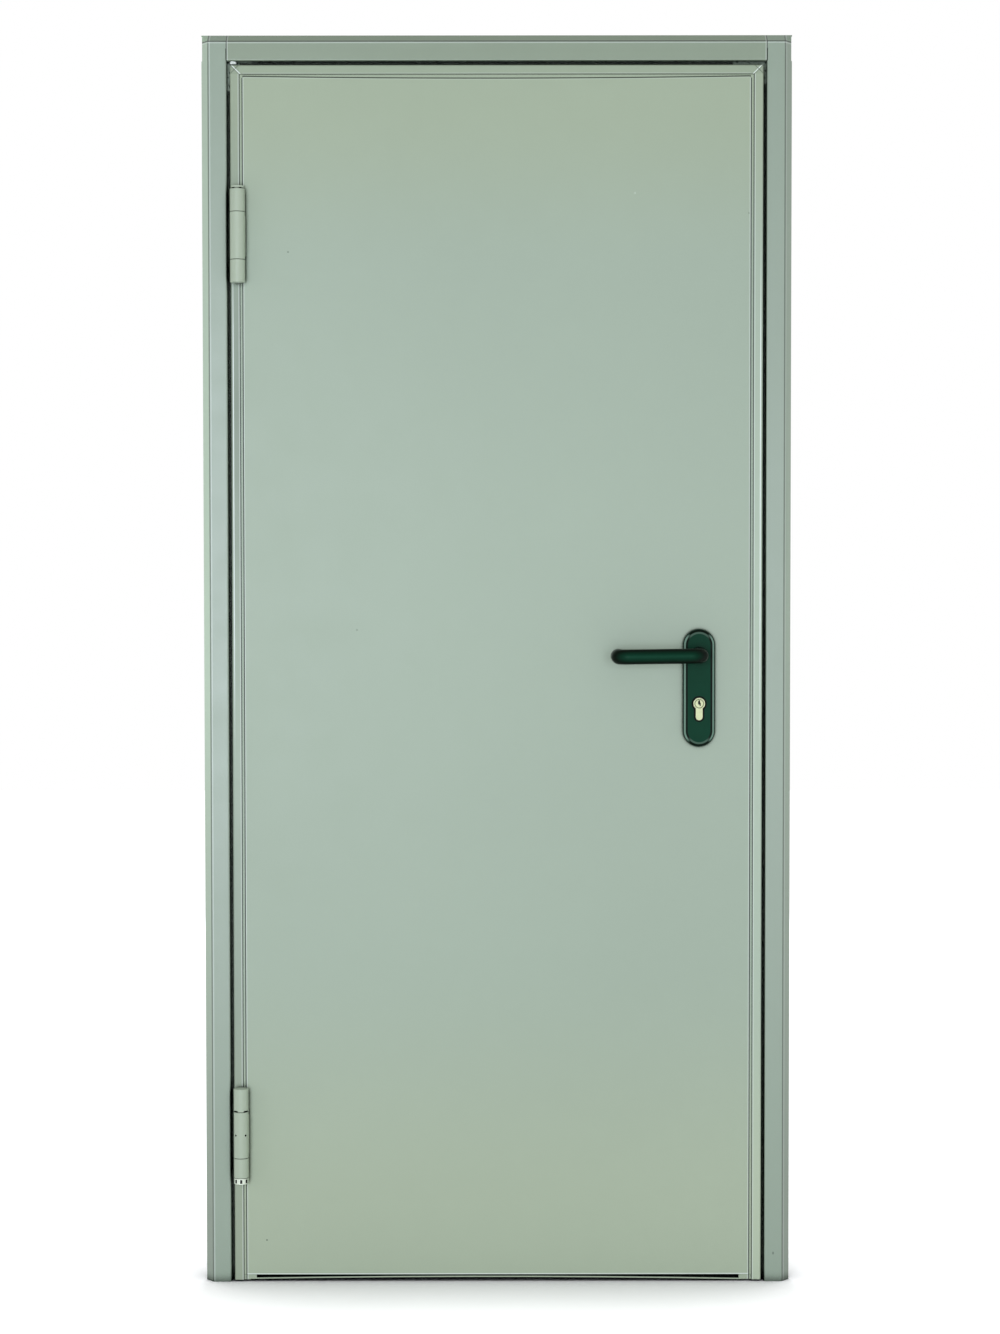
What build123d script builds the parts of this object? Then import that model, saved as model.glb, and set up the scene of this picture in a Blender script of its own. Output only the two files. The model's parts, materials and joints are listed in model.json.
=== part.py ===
from build123d import *
import math
import os

# A single-leaf steel security door in its folded steel corner frame.
# Millimetres. +X runs from the hinges to the lock, +Y from the front into the wall, +Z up.
# The origin is under the hinge jamb's floor foot, on the flat face that stands on the floor.

# Leaf, over the outside of its thin rebate flange
LEAF_WIDTH = 785.0
LEAF_HEIGHT = 1801.0
LEAF_DEPTH = 62.0
LEAF_SKIN = 1.2
HEM_FRONT_ROUND = 2.8
HEM_BACK_ROUND = 0.7
FLANGE_HINGE = 22.5
FLANGE_LOCK = 29.0
FLANGE_TOP = 22.0
FLOOR_GAP = 3.0

# Leaf front: the hem folded over the front sheet, the groove beside it, the raised panel
HEM_WIDTH = 13.3
GROOVE_WIDTH = 5.2
TOP_GROOVE_WIDTH = 3.7
PANEL_TOP_SAG = 3.0
PANEL_CORNER_RADIUS = 3.0
PANEL_EDGE_RADIUS = 1.0
MITRE_SLOT = 0.5

# Leaf bottom: the front sheet ends above a slot, and a bowed strip spans two end blocks
FRONT_SHEET_LIFT = 8.0
BOTTOM_WALL_LIFT = 11.0
END_BLOCK_LENGTHS = (8.7, 2.5)
END_BLOCK_HEIGHTS = (10.2, 11.2)
END_BLOCK_DEPTH = 13.0
BOTTOM_STRIP_THICKNESS = 1.8
BOTTOM_STRIP_DEPTH = 10.0
BOTTOM_STRIP_BOW = 3.0

# Frame: one folded profile for the jambs and the header
FRAME_SHEET = 1.5
BEND_RADIUS = 1.0
JAMB_FACE = 27.0
HEADER_FACE = 28.5
LIP_WIDTH = 11.0
REBATE_DEPTH = 13.0
REVEAL_PAST_LEAF = 12.5
RETURN_WIDTH = 15.0
WALL_GAP = 27.0

# Clearances between the leaf and the frame
EDGE_GAP = 5.0
TOP_GAP = 6.0
BODY_GAP_HINGE = 8.0
BODY_GAP_LOCK = 9.0
BODY_GAP_TOP = 6.0
GASKET_GAP = 0.5

# Hinges: three knuckles on a pin, the middle one on the leaf
KNUCKLE_RADIUS = 11.0
KNUCKLE_EDGE_RADIUS = 0.8
HINGE_INSET = 11.5
HINGE_STANDOFF = 0.5
PIN_RADIUS = 6.0
PIN_CLEARANCE = 0.08
KNUCKLE_GAP = 0.4
STRAP_THICKNESS = 3.0
STRAP_INSET = 5.0
STRAP_SLOT_CLEARANCE = 0.5
NOTCH_CLEARANCE = 3.5
STRAP_NOTCH_GAP = 5.0
LEAF_STRAP_DEPTH = 47.0
FRAME_STRAP_TURN = 7.0
UPPER_HINGE_DROP = 183.0
UPPER_KNUCKLES = (33.2, 69.5, 33.2)
LOWER_HINGE_TOP = 292.5
LOWER_KNUCKLES = (34.0, 68.7, 29.4)
CAP_RADIUS = 9.5
CAP_HEIGHT = 3.2
CAP_EDGE_RADIUS = 0.8
WASHER_HEIGHT = 1.6
WASHER_INSET = 0.5
WASHER_NOTCHES = 5
WASHER_NOTCH = (4.6, 5.0)
WASHER_FIRST_NOTCH = -128.0
RING_HEIGHT = 8.2
RING_NOTCHES = 8
RING_NOTCH = (3.4, 3.4)
RING_NOTCH_HEIGHT = 5.6
RING_FIRST_NOTCH = -86.0
STOP_HEIGHT = 2.2
STOP_NOTCHES = 4
STOP_NOTCH = (8.0, 4.5)
STOP_FIRST_NOTCH = -133.0
TENSION_HOLE_RADIUS = 1.6
TENSION_HOLE_DEPTH = 3.5
TENSION_HOLE_SPREAD = 42.0

# Security pins on the hinge edge of the leaf
DOG_BOLT_RADIUS = 6.0
DOG_BOLT_REACH = 15.0
DOG_BOLT_FLANGE_RADIUS = 12.0
DOG_BOLT_FLANGE = 2.5
DOG_BOLT_CLEARANCE = 4.0
DOG_BOLT_ABOVE_LOWER_HINGE = 330.0
DOG_BOLT_ABOVE_MIDDLE_SLEEVE = 177.0

# Lock, lever set and cylinder
SPINDLE_HEIGHT = 936.0
LOCK_CENTRES = 72.0
BACKSET = 65.0
SPINDLE_SIDE = 9.0
SPINDLE_HOLE_RADIUS = 8.5
PLATE_WIDTH = 47.0
PLATE_ABOVE_SPINDLE = 38.0
PLATE_BELOW_CYLINDER = 64.0
PLATE_THICKNESS = 9.0
PLATE_BEVEL = 5.0
PLATE_BEVEL_DROP = 4.0
GRIP_RADIUS = 11.0
GRIP_LENGTH = 120.0
GRIP_REACH = 58.0
GRIP_BEND_RADIUS = 15.0
GRIP_END_GAP = 12.0
GRIP_END_ROUND = 2.5
GRIP_SAG_DEGREES = 0.8
NECK_CLEARANCE = 0.4
SOCKET_DEPTH = 30.0
CYLINDER_HEAD_RADIUS = 8.5
CYLINDER_HEIGHT = 33.0
CYLINDER_TAIL_RADIUS = 5.0
CYLINDER_PROUD = 2.0
CYLINDER_CLEARANCE = 0.4
PLUG_RADIUS = 6.5
PLUG_CLEARANCE = 0.05
PLUG_LENGTH = 28.0
PLUG_PROUD = 0.6
PLUG_END_GAP = 0.3
PLUG_RIM = 0.5
KEYWAY_WIDTH = 1.8
KEYWAY_HEIGHT = 8.6
KEYWAY_JOG = 1.3
KEYWAY_STEP = 0.9
KEYWAY_LIFT = 1.0
KEYWAY_DEPTH = 18.0
LOCK_CASE_DEPTH = 16.0
LOCK_CASE_PAST_SPINDLE = 27.0
LOCK_CASE_ABOVE = 56.0
LOCK_CASE_BELOW = 110.0
FOREND_THICKNESS = 3.0
FOREND_WIDTH = 24.0
FOREND_HEIGHT = 235.0
FOREND_END_MARGIN = 42.0
LATCH_SIZE = (14.0, 30.0)
LATCH_ABOVE_SPINDLE = 32.0
BOLT_SIZE = (14.0, 34.0)
BOLT_ABOVE_CYLINDER = 30.0
BOLT_LENGTH = 26.0
BOLT_PROUD = 1.5

# Strike openings in the lock jamb and the box behind them
STRIKE_CLEARANCE = 3.0
STRIKE_BOX_DEPTH = 20.0
STRIKE_BOX_MARGIN = 4.0

# What the frame stands on and is screwed through
ORIGIN_BEHIND_WALL_FACE = 30.0
FOOT_THICKNESS = 3.0
FOOT_LEG_HEIGHT = 40.0
FOOT_HOLE_RADIUS = 5.5
FOOT_HOLE_BACK = 17.0
SLEEVE_RADIUS = 9.0
SLEEVE_BORE_RADIUS = 5.5
LOW_SLEEVE_HEIGHT = 380.0
SLEEVE_ABOVE_SPINDLE = 151.0
HIGH_SLEEVE_DROP = 159.0

# Gaskets
GASKET_WIDTH = 7.0
GASKET_ROUND = 2.5
GASKET_FROM_REVEAL = 3.0
GASKET_PAST_SWING = 2.0
FIN_WIDTH = 8.0
FIN_BASE = 2.0
FIN_FROM_BACK = 17.0

# How far a cutting shape runs past the face that it opens
OVERCUT = 1.0

# Places that follow from the sizes above
foot_half = WALL_GAP / 2
reveal_hinge = foot_half + FRAME_SHEET
body_left = reveal_hinge + BODY_GAP_HINGE
leaf_left = body_left - FLANGE_HINGE
leaf_right = leaf_left + LEAF_WIDTH
body_right = leaf_right - FLANGE_LOCK
reveal_lock = body_right + BODY_GAP_LOCK
corner_left = leaf_left - EDGE_GAP
corner_right = leaf_right + EDGE_GAP
lock_foot_middle = reveal_lock + FRAME_SHEET + foot_half

leaf_bottom = FLOOR_GAP
leaf_top = leaf_bottom + LEAF_HEIGHT
body_top = leaf_top - FLANGE_TOP
corner_top = leaf_top + TOP_GAP
face_top = corner_top + HEADER_FACE
frame_top = face_top + LIP_WIDTH
reveal_top = body_top + BODY_GAP_TOP
back_of_frame_top = corner_top + FRAME_SHEET
sheet_bottom = leaf_bottom + FRONT_SHEET_LIFT
bottom_wall = leaf_bottom + BOTTOM_WALL_LIFT
slot_left = body_left + LEAF_SKIN + END_BLOCK_LENGTHS[0]
slot_right = body_right - LEAF_SKIN - END_BLOCK_LENGTHS[1]

wall_face = -ORIGIN_BEHIND_WALL_FACE
step_face = wall_face - FRAME_SHEET
front = step_face - REBATE_DEPTH
leaf_back = front + LEAF_DEPTH
frame_back = leaf_back + REVEAL_PAST_LEAF
leaf_middle = (front + leaf_back) / 2
hem_back = front + LEAF_SKIN
sheet_back = front + 2 * LEAF_SKIN
hem_thickness = 3 * LEAF_SKIN
flange_back = front + hem_thickness
bend_size = FRAME_SHEET + BEND_RADIUS

hinge_x = leaf_left + HINGE_INSET
hinge_y = front - HINGE_STANDOFF - KNUCKLE_RADIUS
upper_hinge_top = leaf_top - UPPER_HINGE_DROP
frame_strap_x = (hinge_x - KNUCKLE_RADIUS, hinge_x - KNUCKLE_RADIUS + STRAP_THICKNESS)
leaf_strap_x = (body_left - STRAP_THICKNESS, body_left)
spindle_x = body_right - BACKSET
cylinder_height = SPINDLE_HEIGHT - LOCK_CENTRES
latch_height = SPINDLE_HEIGHT + LATCH_ABOVE_SPINDLE
bolt_height = cylinder_height + BOLT_ABOVE_CYLINDER
sleeve_heights = (
    LOW_SLEEVE_HEIGHT,
    SPINDLE_HEIGHT + SLEEVE_ABOVE_SPINDLE,
    leaf_top - HIGH_SLEEVE_DROP,
)
dog_bolt_heights = (
    LOWER_HINGE_TOP + DOG_BOLT_ABOVE_LOWER_HINGE,
    sleeve_heights[1] + DOG_BOLT_ABOVE_MIDDLE_SLEEVE,
)
gasket_top = reveal_top + GASKET_FROM_REVEAL + GASKET_WIDTH
span_limit = LEAF_WIDTH + LEAF_HEIGHT


def block(x_span, y_span, z_span):
    """A plain block between three pairs of limits."""
    spans = (x_span, y_span, z_span)
    size = [high - low for low, high in spans]
    middle = [(high + low) / 2 for low, high in spans]
    return Pos(*middle) * Box(*size)


def upright(face, low, high):
    """A section drawn in plan, raised from one height to another."""
    return extrude(Pos(0, 0, low) * face, amount=high - low)


def crosswise(face, low, high):
    """A section drawn in Y and Z, drawn out along X."""
    return extrude(Plane.YZ.offset(low) * face, amount=high - low)


def through(face, low, high):
    """A section drawn in X and Z, drawn out along Y."""
    return extrude(Plane.XZ.offset(-low) * face, amount=low - high)


def round_bar(x_span, y, z, radius):
    """A round bar along X."""
    return crosswise(Pos(y, z) * Circle(radius), *x_span)


def folded_sheet(path, thickness, inner_radius):
    """The section of a sheet bent along path, with its thickness to the left of the path."""
    normals = []
    for (ax, ay), (bx, by) in zip(path, path[1:]):
        length = math.hypot(bx - ax, by - ay)
        normals.append(((ay - by) / length, (bx - ax) / length))
    far = []
    for (px, py), (ux, uy), (vx, vy) in zip(path, [normals[0], *normals], [*normals, normals[-1]]):
        reach = thickness / (1 + ux * vx + uy * vy)
        far.append((px + reach * (ux + vx), py + reach * (uy + vy)))
    near_radii = []
    far_radii = []
    for (ux, uy), (vx, vy) in zip(normals, normals[1:]):
        turns_left = ux * vy - uy * vx > 0
        near_radii.append(inner_radius + thickness if turns_left else inner_radius)
        far_radii.append(inner_radius if turns_left else inner_radius + thickness)
    near_side = FilletPolyline(*path, radius=near_radii)
    far_side = FilletPolyline(*far, radius=far_radii)
    ends = [Line(path[0], far[0]), Line(path[-1], far[-1])]
    return make_face([*near_side.edges(), *far_side.edges(), *ends])


def lip_band():
    """The header's lip alone, in Y and Z, as the jambs' top flaps repeat it."""
    path = [(wall_face, frame_top), (front, face_top), (front, face_top - LIP_WIDTH)]
    return folded_sheet(path, FRAME_SHEET, BEND_RADIUS)


def jamb(corner, reveal, side):
    """One folded jamb; side is -1 at the hinges and 1 at the lock."""
    lip_end = corner + side * (JAMB_FACE + LIP_WIDTH)
    path = [
        (lip_end, wall_face),
        (corner + side * JAMB_FACE, front),
        (corner, front),
        (corner, step_face),
        (reveal, step_face),
        (reveal, frame_back),
        (reveal + side * RETURN_WIDTH, frame_back),
    ]
    if side > 0:
        path.reverse()
    post = upright(folded_sheet(path, FRAME_SHEET, BEND_RADIUS), 0, frame_top)

    # the top end slopes back under a flap, as the header's lip does
    under_lip = make_face(
        Polyline(
            (wall_face, frame_top),
            (front, face_top),
            (front, 0),
            (frame_back, 0),
            (frame_back, frame_top),
            close=True,
        )
    )
    left, right = sorted((lip_end, reveal))
    post = post & crosswise(under_lip, left, right)
    post = post - block(
        (left - OVERCUT, right + OVERCUT),
        (step_face, frame_back + OVERCUT),
        (back_of_frame_top, frame_top + OVERCUT),
    )
    inside_lip = make_face(
        Polyline(
            (lip_end, wall_face),
            (corner + side * JAMB_FACE, front),
            (corner, front),
            (corner, wall_face),
            close=True,
        )
    )
    flap = crosswise(lip_band(), *sorted((lip_end, corner)))
    flap = flap & upright(inside_lip, face_top - LIP_WIDTH, frame_top)
    return post + flap


def header():
    """The head of the frame, butted between the two jambs."""
    path = [
        (wall_face, frame_top),
        (front, face_top),
        (front, corner_top),
        (step_face, corner_top),
        (step_face, reveal_top),
        (frame_back, reveal_top),
        (frame_back, reveal_top + RETURN_WIDTH),
    ]
    beam = crosswise(folded_sheet(path, FRAME_SHEET, BEND_RADIUS), corner_left, corner_right)
    for low, high in ((corner_left, reveal_hinge), (reveal_lock, corner_right)):
        beam = beam - block((low, high), (step_face, frame_back + OVERCUT), (0, corner_top + OVERCUT))
    return beam


def frame_zone(depths, heights):
    """All that lies between two depths and two heights."""
    return block((-span_limit, span_limit), depths, heights)


def in_legs(sheet, face_zone, reveal_zones):
    """A folded frame sheet divided at its bends, and its reveal into the given zones."""
    tall = (0, span_limit)
    rebate_zone = frame_zone((front, reveal_depths[0]), tall)
    return_zone = frame_zone((reveal_depths[1], frame_back), tall)
    behind_face = sheet - face_zone
    legs = [sheet & face_zone]
    for zone in (rebate_zone, return_zone, *reveal_zones):
        legs.append(behind_face & zone)
    return Compound([solid for leg in legs for solid in leg.solids()])


def flange_and_pan(tray):
    """The leaf's tray divided behind its flange."""
    flange_zone = block((leaf_left, leaf_right), (front, flange_back), (leaf_bottom, leaf_top))
    return Compound([*(tray & flange_zone).solids(), *(tray - flange_zone).solids()])


def foot(middle, toward_reveal):
    """The floor foot: a flat plate with an anchor hole and a leg welded to the reveal."""
    plate = block(
        (middle - foot_half, middle + foot_half),
        (wall_face, frame_back - FRAME_SHEET),
        (0, FOOT_THICKNESS),
    )
    edge = middle + toward_reveal * foot_half
    leg = block(
        sorted((edge, edge - toward_reveal * FOOT_THICKNESS)),
        (wall_face, frame_back - FRAME_SHEET),
        (0, FOOT_LEG_HEIGHT),
    )
    hole = Pos(middle, FOOT_HOLE_BACK, 0) * Cylinder(FOOT_HOLE_RADIUS, 2 * (FOOT_THICKNESS + OVERCUT))
    return plate + leg - hole


def sleeves(low, high):
    """Spacer sleeves for the wall screws, from the reveal to the masonry."""
    tubes = []
    for height in sleeve_heights:
        tube = round_bar((low, high), leaf_middle, height, SLEEVE_RADIUS)
        bore = round_bar((low - OVERCUT, high + OVERCUT), leaf_middle, height, SLEEVE_BORE_RADIUS)
        tubes.append(tube - bore)
    return Compound(tubes)


def screw_holes(reveal):
    """The same screws' holes through a jamb's reveal."""
    span = (reveal - 2 * FRAME_SHEET, reveal + 2 * FRAME_SHEET)
    return [round_bar(span, leaf_middle, height, SLEEVE_BORE_RADIUS) for height in sleeve_heights]


def knuckle_levels(top, lengths):
    """Top and bottom of each knuckle, from the top one down."""
    levels = []
    for length in lengths:
        levels.append((top - length, top))
        top = top - length - KNUCKLE_GAP
    return levels


def knuckle(level, bore_radius):
    """A rolled hinge knuckle with softened ends, bored for the pin."""
    low, high = level
    barrel = Pos(hinge_x, hinge_y, (low + high) / 2) * Cylinder(KNUCKLE_RADIUS, high - low)
    barrel = fillet(barrel.edges().filter_by(GeomType.CIRCLE), KNUCKLE_EDGE_RADIUS)
    bore = Cylinder(bore_radius, high - low + 2 * OVERCUT)
    return barrel - Pos(hinge_x, hinge_y, (low + high) / 2) * bore


def strap_level(level, clearance=0.0):
    """Height of a knuckle's strap, or of the slot that it passes through."""
    low, high = level
    return (low + STRAP_INSET - clearance, high - STRAP_INSET + clearance)


def frame_knuckles(levels):
    """The outer knuckles, whose straps pass behind the frame's step and turn along it."""
    pieces = []
    for level in (levels[0], levels[2]):
        barrel = knuckle(level, PIN_RADIUS)
        strap = block(frame_strap_x, (hinge_y, wall_face + STRAP_THICKNESS), strap_level(level))
        turn = block(
            (frame_strap_x[0], frame_strap_x[0] + STRAP_THICKNESS + FRAME_STRAP_TURN),
            (wall_face, wall_face + STRAP_THICKNESS),
            strap_level(level),
        )
        pieces.append(barrel + strap + turn)
    return Compound(pieces)


def leaf_knuckle(level):
    """The middle knuckle, whose strap runs back along the leaf's hinge edge."""
    barrel = knuckle(level, PIN_RADIUS + PIN_CLEARANCE)
    strap = block(leaf_strap_x, (hinge_y, front + LEAF_STRAP_DEPTH), strap_level(level))
    return barrel + strap


def tension_holes(level):
    """Two small holes for the bar that winds the spring."""
    holes = []
    for angle in (-TENSION_HOLE_SPREAD, TENSION_HOLE_SPREAD):
        start = Pos(hinge_x, hinge_y, sum(level) / 2) * Rot(0, 0, angle)
        bar = Rot(90, 0, 0) * Cylinder(TENSION_HOLE_RADIUS, 2 * TENSION_HOLE_DEPTH)
        holes.append(start * Pos(0, -KNUCKLE_RADIUS, 0) * bar)
    return holes


def rim_notches(low, high, count, notch, first_angle):
    """Notches round the rim of a hinge piece; notch is their width and reach."""
    width, reach = notch
    gap = Pos(KNUCKLE_RADIUS, 0, 0) * Box(2 * reach, width, high - low)
    middle = Pos(hinge_x, hinge_y, (low + high) / 2)
    return [middle * Rot(0, 0, first_angle + turn * 360 / count) * gap for turn in range(count)]


def spring_ring(top):
    """The toothed ring below the spring hinge, turned to set the closing force."""
    middle = top - RING_HEIGHT / 2
    ring = Cylinder(KNUCKLE_RADIUS, RING_HEIGHT) - Cylinder(PIN_RADIUS, RING_HEIGHT + 2 * OVERCUT)
    half = RING_NOTCH_HEIGHT / 2
    notches = rim_notches(middle - half, middle + half, RING_NOTCHES, RING_NOTCH, RING_FIRST_NOTCH)
    return Pos(hinge_x, hinge_y, middle) * ring - notches


def hinge_pin(low, high):
    """A plain pin from end to end of a hinge."""
    return Pos(hinge_x, hinge_y, (low + high) / 2) * Cylinder(PIN_RADIUS, high - low)


def hinge_cap(top):
    """The low cap of the upper hinge on its notched washer."""
    washer_top = top + WASHER_HEIGHT
    washer = Cylinder(CAP_RADIUS - WASHER_INSET, WASHER_HEIGHT)
    washer = Pos(hinge_x, hinge_y, (top + washer_top) / 2) * washer
    washer = washer - rim_notches(top, washer_top, WASHER_NOTCHES, WASHER_NOTCH, WASHER_FIRST_NOTCH)
    disc = Cylinder(CAP_RADIUS, CAP_HEIGHT)
    disc = fillet(disc.edges().filter_by(GeomType.CIRCLE), CAP_EDGE_RADIUS)
    return washer + Pos(hinge_x, hinge_y, washer_top + CAP_HEIGHT / 2) * disc


def strap_notches(levels):
    """The leaf flange is cut away round the frame's straps."""
    cuts = []
    for level in (levels[0], levels[2]):
        cuts.append(
            block(
                (leaf_left - OVERCUT, frame_strap_x[1] + STRAP_NOTCH_GAP),
                (front - OVERCUT, flange_back + OVERCUT),
                strap_level(level, NOTCH_CLEARANCE),
            )
        )
    return cuts


def step_slots(levels):
    """The frame's step is slotted for its straps."""
    cuts = []
    for level in (levels[0], levels[2]):
        cuts.append(
            block(
                (frame_strap_x[0] - STRAP_SLOT_CLEARANCE, frame_strap_x[1] + STRAP_SLOT_CLEARANCE),
                (step_face - OVERCUT, wall_face),
                strap_level(level, STRAP_SLOT_CLEARANCE),
            )
        )
    return cuts


def leaf_slot(level):
    """The leaf front is slotted for the middle knuckle's strap."""
    return block(
        (leaf_strap_x[0] - STRAP_SLOT_CLEARANCE, leaf_strap_x[1]),
        (front - OVERCUT, flange_back + OVERCUT),
        strap_level(level, STRAP_SLOT_CLEARANCE),
    )


def euro_profile(clearance):
    """The section of a profile cylinder: a round head over a narrow round-ended tail."""
    tail_drop = CYLINDER_HEIGHT - CYLINDER_HEAD_RADIUS - CYLINDER_TAIL_RADIUS
    head = Circle(CYLINDER_HEAD_RADIUS + clearance)
    tail_half = CYLINDER_TAIL_RADIUS + clearance
    tail = Pos(0, -tail_drop / 2) * Rectangle(2 * tail_half, tail_drop)
    return head + tail + Pos(0, -tail_drop) * Circle(tail_half)


def at_lock(face, height):
    """A section in X and Z centred on the lever's line at one height."""
    return Pos(spindle_x, height) * face


def panel_outline(inset, bottom):
    """The raised panel's outline; its top edge sags a little towards the middle."""
    left = leaf_left + HEM_WIDTH + GROOVE_WIDTH + inset
    right = leaf_right - HEM_WIDTH - GROOVE_WIDTH - inset
    top = leaf_top - HEM_WIDTH - TOP_GROOVE_WIDTH - inset
    middle = ((left + right) / 2, top - PANEL_TOP_SAG)
    sides = Polyline((left, top), (left, bottom), (right, bottom), (right, top))
    top_edge = ThreePointArc((right, top), middle, (left, top))
    outline = make_face([*sides.edges(), *top_edge.edges()])
    upper_corners = outline.vertices().sort_by(Axis.Y)[-2:]
    return fillet(upper_corners, PANEL_CORNER_RADIUS)


def lock_passages(low, high):
    """What the spindle and the cylinder pass through, from one depth to another."""
    return [
        through(at_lock(Circle(SPINDLE_HOLE_RADIUS), SPINDLE_HEIGHT), low, high),
        through(at_lock(euro_profile(CYLINDER_CLEARANCE), cylinder_height), low, high),
    ]


def leaf_front_sheet(cuts):
    """The front sheet: its edge lies under the hem, and its field stands forward of the groove."""
    sheet = block(
        (leaf_left + LEAF_SKIN, leaf_right - LEAF_SKIN),
        (hem_back, sheet_back),
        (sheet_bottom, leaf_top - LEAF_SKIN),
    )
    field = through(panel_outline(0, sheet_bottom), front, sheet_back)
    front_edges = field.edges().group_by(Axis.Y)[0]
    bottom_edge = front_edges.sort_by(Axis.Z)[0]
    field = fillet([edge for edge in front_edges if edge != bottom_edge], PANEL_EDGE_RADIUS)
    hollow = through(panel_outline(LEAF_SKIN, sheet_bottom - OVERCUT), hem_back, sheet_back + OVERCUT)
    return sheet + field - hollow - cuts


def leaf_tray(cuts):
    """The back sheet folded into a tray, with its flange hemmed over the front sheet."""
    skin = LEAF_SKIN
    inner_x = (body_left + skin, body_right - skin)
    flange = block((leaf_left, leaf_right), (front, flange_back), (leaf_bottom, leaf_top))
    for side, radius in ((0, HEM_FRONT_ROUND), (-1, HEM_BACK_ROUND)):
        side_edges = flange.edges().filter_by(Axis.Z).group_by(Axis.Y)[side]
        top_edges = flange.edges().filter_by(Axis.X).group_by(Axis.Z)[-1]
        flange = fillet([*side_edges, *top_edges.group_by(Axis.Y)[side]], radius)
    tray = flange + block((body_left, body_right), (sheet_back, leaf_back), (leaf_bottom, body_top))
    sheet_bed_x = (leaf_left + skin, leaf_right - skin)
    tray = tray - block(sheet_bed_x, (hem_back, sheet_back), (0, leaf_top - skin))
    window_x = (leaf_left + HEM_WIDTH, leaf_right - HEM_WIDTH)
    tray = tray - block(window_x, (front - OVERCUT, hem_back), (0, leaf_top - HEM_WIDTH))
    tray = tray - block(inner_x, (sheet_back, leaf_back - skin), (bottom_wall + skin, body_top - skin))
    tray = tray - block(inner_x, (sheet_back, leaf_back - skin), (0, bottom_wall))

    # mitred seams of the hem at the two top corners
    seam_length = HEM_WIDTH * math.sqrt(2)
    for corner, lean in ((leaf_left, 45), (leaf_right, -45)):
        inward = math.copysign(HEM_WIDTH / 2, lean)
        seam = Rot(0, lean, 0) * Box(MITRE_SLOT, skin, seam_length)
        tray = tray - Pos(corner + inward, front + skin / 2, leaf_top - HEM_WIDTH / 2) * seam
    return tray - cuts


def forend_bed(thickness):
    """The lock's front plate, or the slot that it is let into."""
    top = latch_height + LATCH_SIZE[1] / 2 + FOREND_END_MARGIN
    return block(
        (body_right - thickness, body_right),
        (leaf_middle - FOREND_WIDTH / 2, leaf_middle + FOREND_WIDTH / 2),
        (top - FOREND_HEIGHT, top),
    )


def bolt_block(size, height):
    """A latch or dead bolt, drawn in so that only its tip stands proud of the lock plate."""
    width, tall = size
    return block(
        (body_right - BOLT_LENGTH, body_right + BOLT_PROUD),
        (leaf_middle - width / 2, leaf_middle + width / 2),
        (height - tall / 2, height + tall / 2),
    )


def lock_case():
    """The mortise lock's case, behind its front plate."""
    right = body_right - FOREND_THICKNESS
    return block(
        (spindle_x - LOCK_CASE_PAST_SPINDLE, right),
        (leaf_middle - LOCK_CASE_DEPTH / 2, leaf_middle + LOCK_CASE_DEPTH / 2),
        (SPINDLE_HEIGHT - LOCK_CASE_BELOW, SPINDLE_HEIGHT + LOCK_CASE_ABOVE),
    )


def backplate(near, far):
    """A lever plate with round ends and a bevel all round; near lies on the leaf."""
    top = SPINDLE_HEIGHT + PLATE_ABOVE_SPINDLE
    bottom = cylinder_height - PLATE_BELOW_CYLINDER
    outline = Pos(spindle_x, (top + bottom) / 2) * Rot(0, 0, 90) * SlotOverall(top - bottom, PLATE_WIDTH)
    plate = through(outline, min(near, far), max(near, far))
    outer_face = plate.faces().sort_by(Axis.Y)[0 if far < near else -1]
    plate = chamfer(outer_face.edges(), PLATE_BEVEL, PLATE_BEVEL_DROP, reference=outer_face)
    low, high = min(near, far) - OVERCUT, max(near, far) + OVERCUT
    plate = plate - through(at_lock(Circle(GRIP_RADIUS + NECK_CLEARANCE), SPINDLE_HEIGHT), low, high)
    return plate - through(at_lock(euro_profile(CYLINDER_CLEARANCE), cylinder_height), low, high)


def lever():
    """The lever in its own place: out from the leaf, along, and back towards the leaf."""
    path = FilletPolyline(
        (0, -NECK_CLEARANCE, 0),
        (0, -GRIP_REACH, 0),
        (-GRIP_LENGTH, -GRIP_REACH, 0),
        (-GRIP_LENGTH, -GRIP_END_GAP, 0),
        radius=GRIP_BEND_RADIUS,
    )
    grip = sweep(Plane(origin=path @ 0, z_dir=path % 0) * Circle(GRIP_RADIUS), path=path)
    free_end = grip.faces().filter_by(GeomType.PLANE).sort_by(Axis.X)[0]
    grip = fillet(free_end.edges(), GRIP_END_ROUND)
    socket = Pos(0, -SOCKET_DEPTH / 2, 0) * Box(SPINDLE_SIDE, SOCKET_DEPTH, SPINDLE_SIDE)
    return grip - socket


def lever_place(depth):
    """The spindle's line at one face of the leaf, with the lever's slight droop."""
    return Pos(spindle_x, depth, SPINDLE_HEIGHT) * Rot(0, -GRIP_SAG_DEGREES, 0)


def plug_bore(mouth, inward):
    """The round bore for one key plug."""
    low, high = sorted((mouth - inward * OVERCUT, mouth + inward * PLUG_LENGTH))
    bore = through(at_lock(Circle(PLUG_RADIUS + PLUG_CLEARANCE), cylinder_height), low, high)
    rim_low, rim_high = sorted((mouth, mouth + inward * PLUG_RIM))
    return bore + through(at_lock(Circle(PLUG_RADIUS + PLUG_RIM), cylinder_height), rim_low, rim_high)


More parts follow.
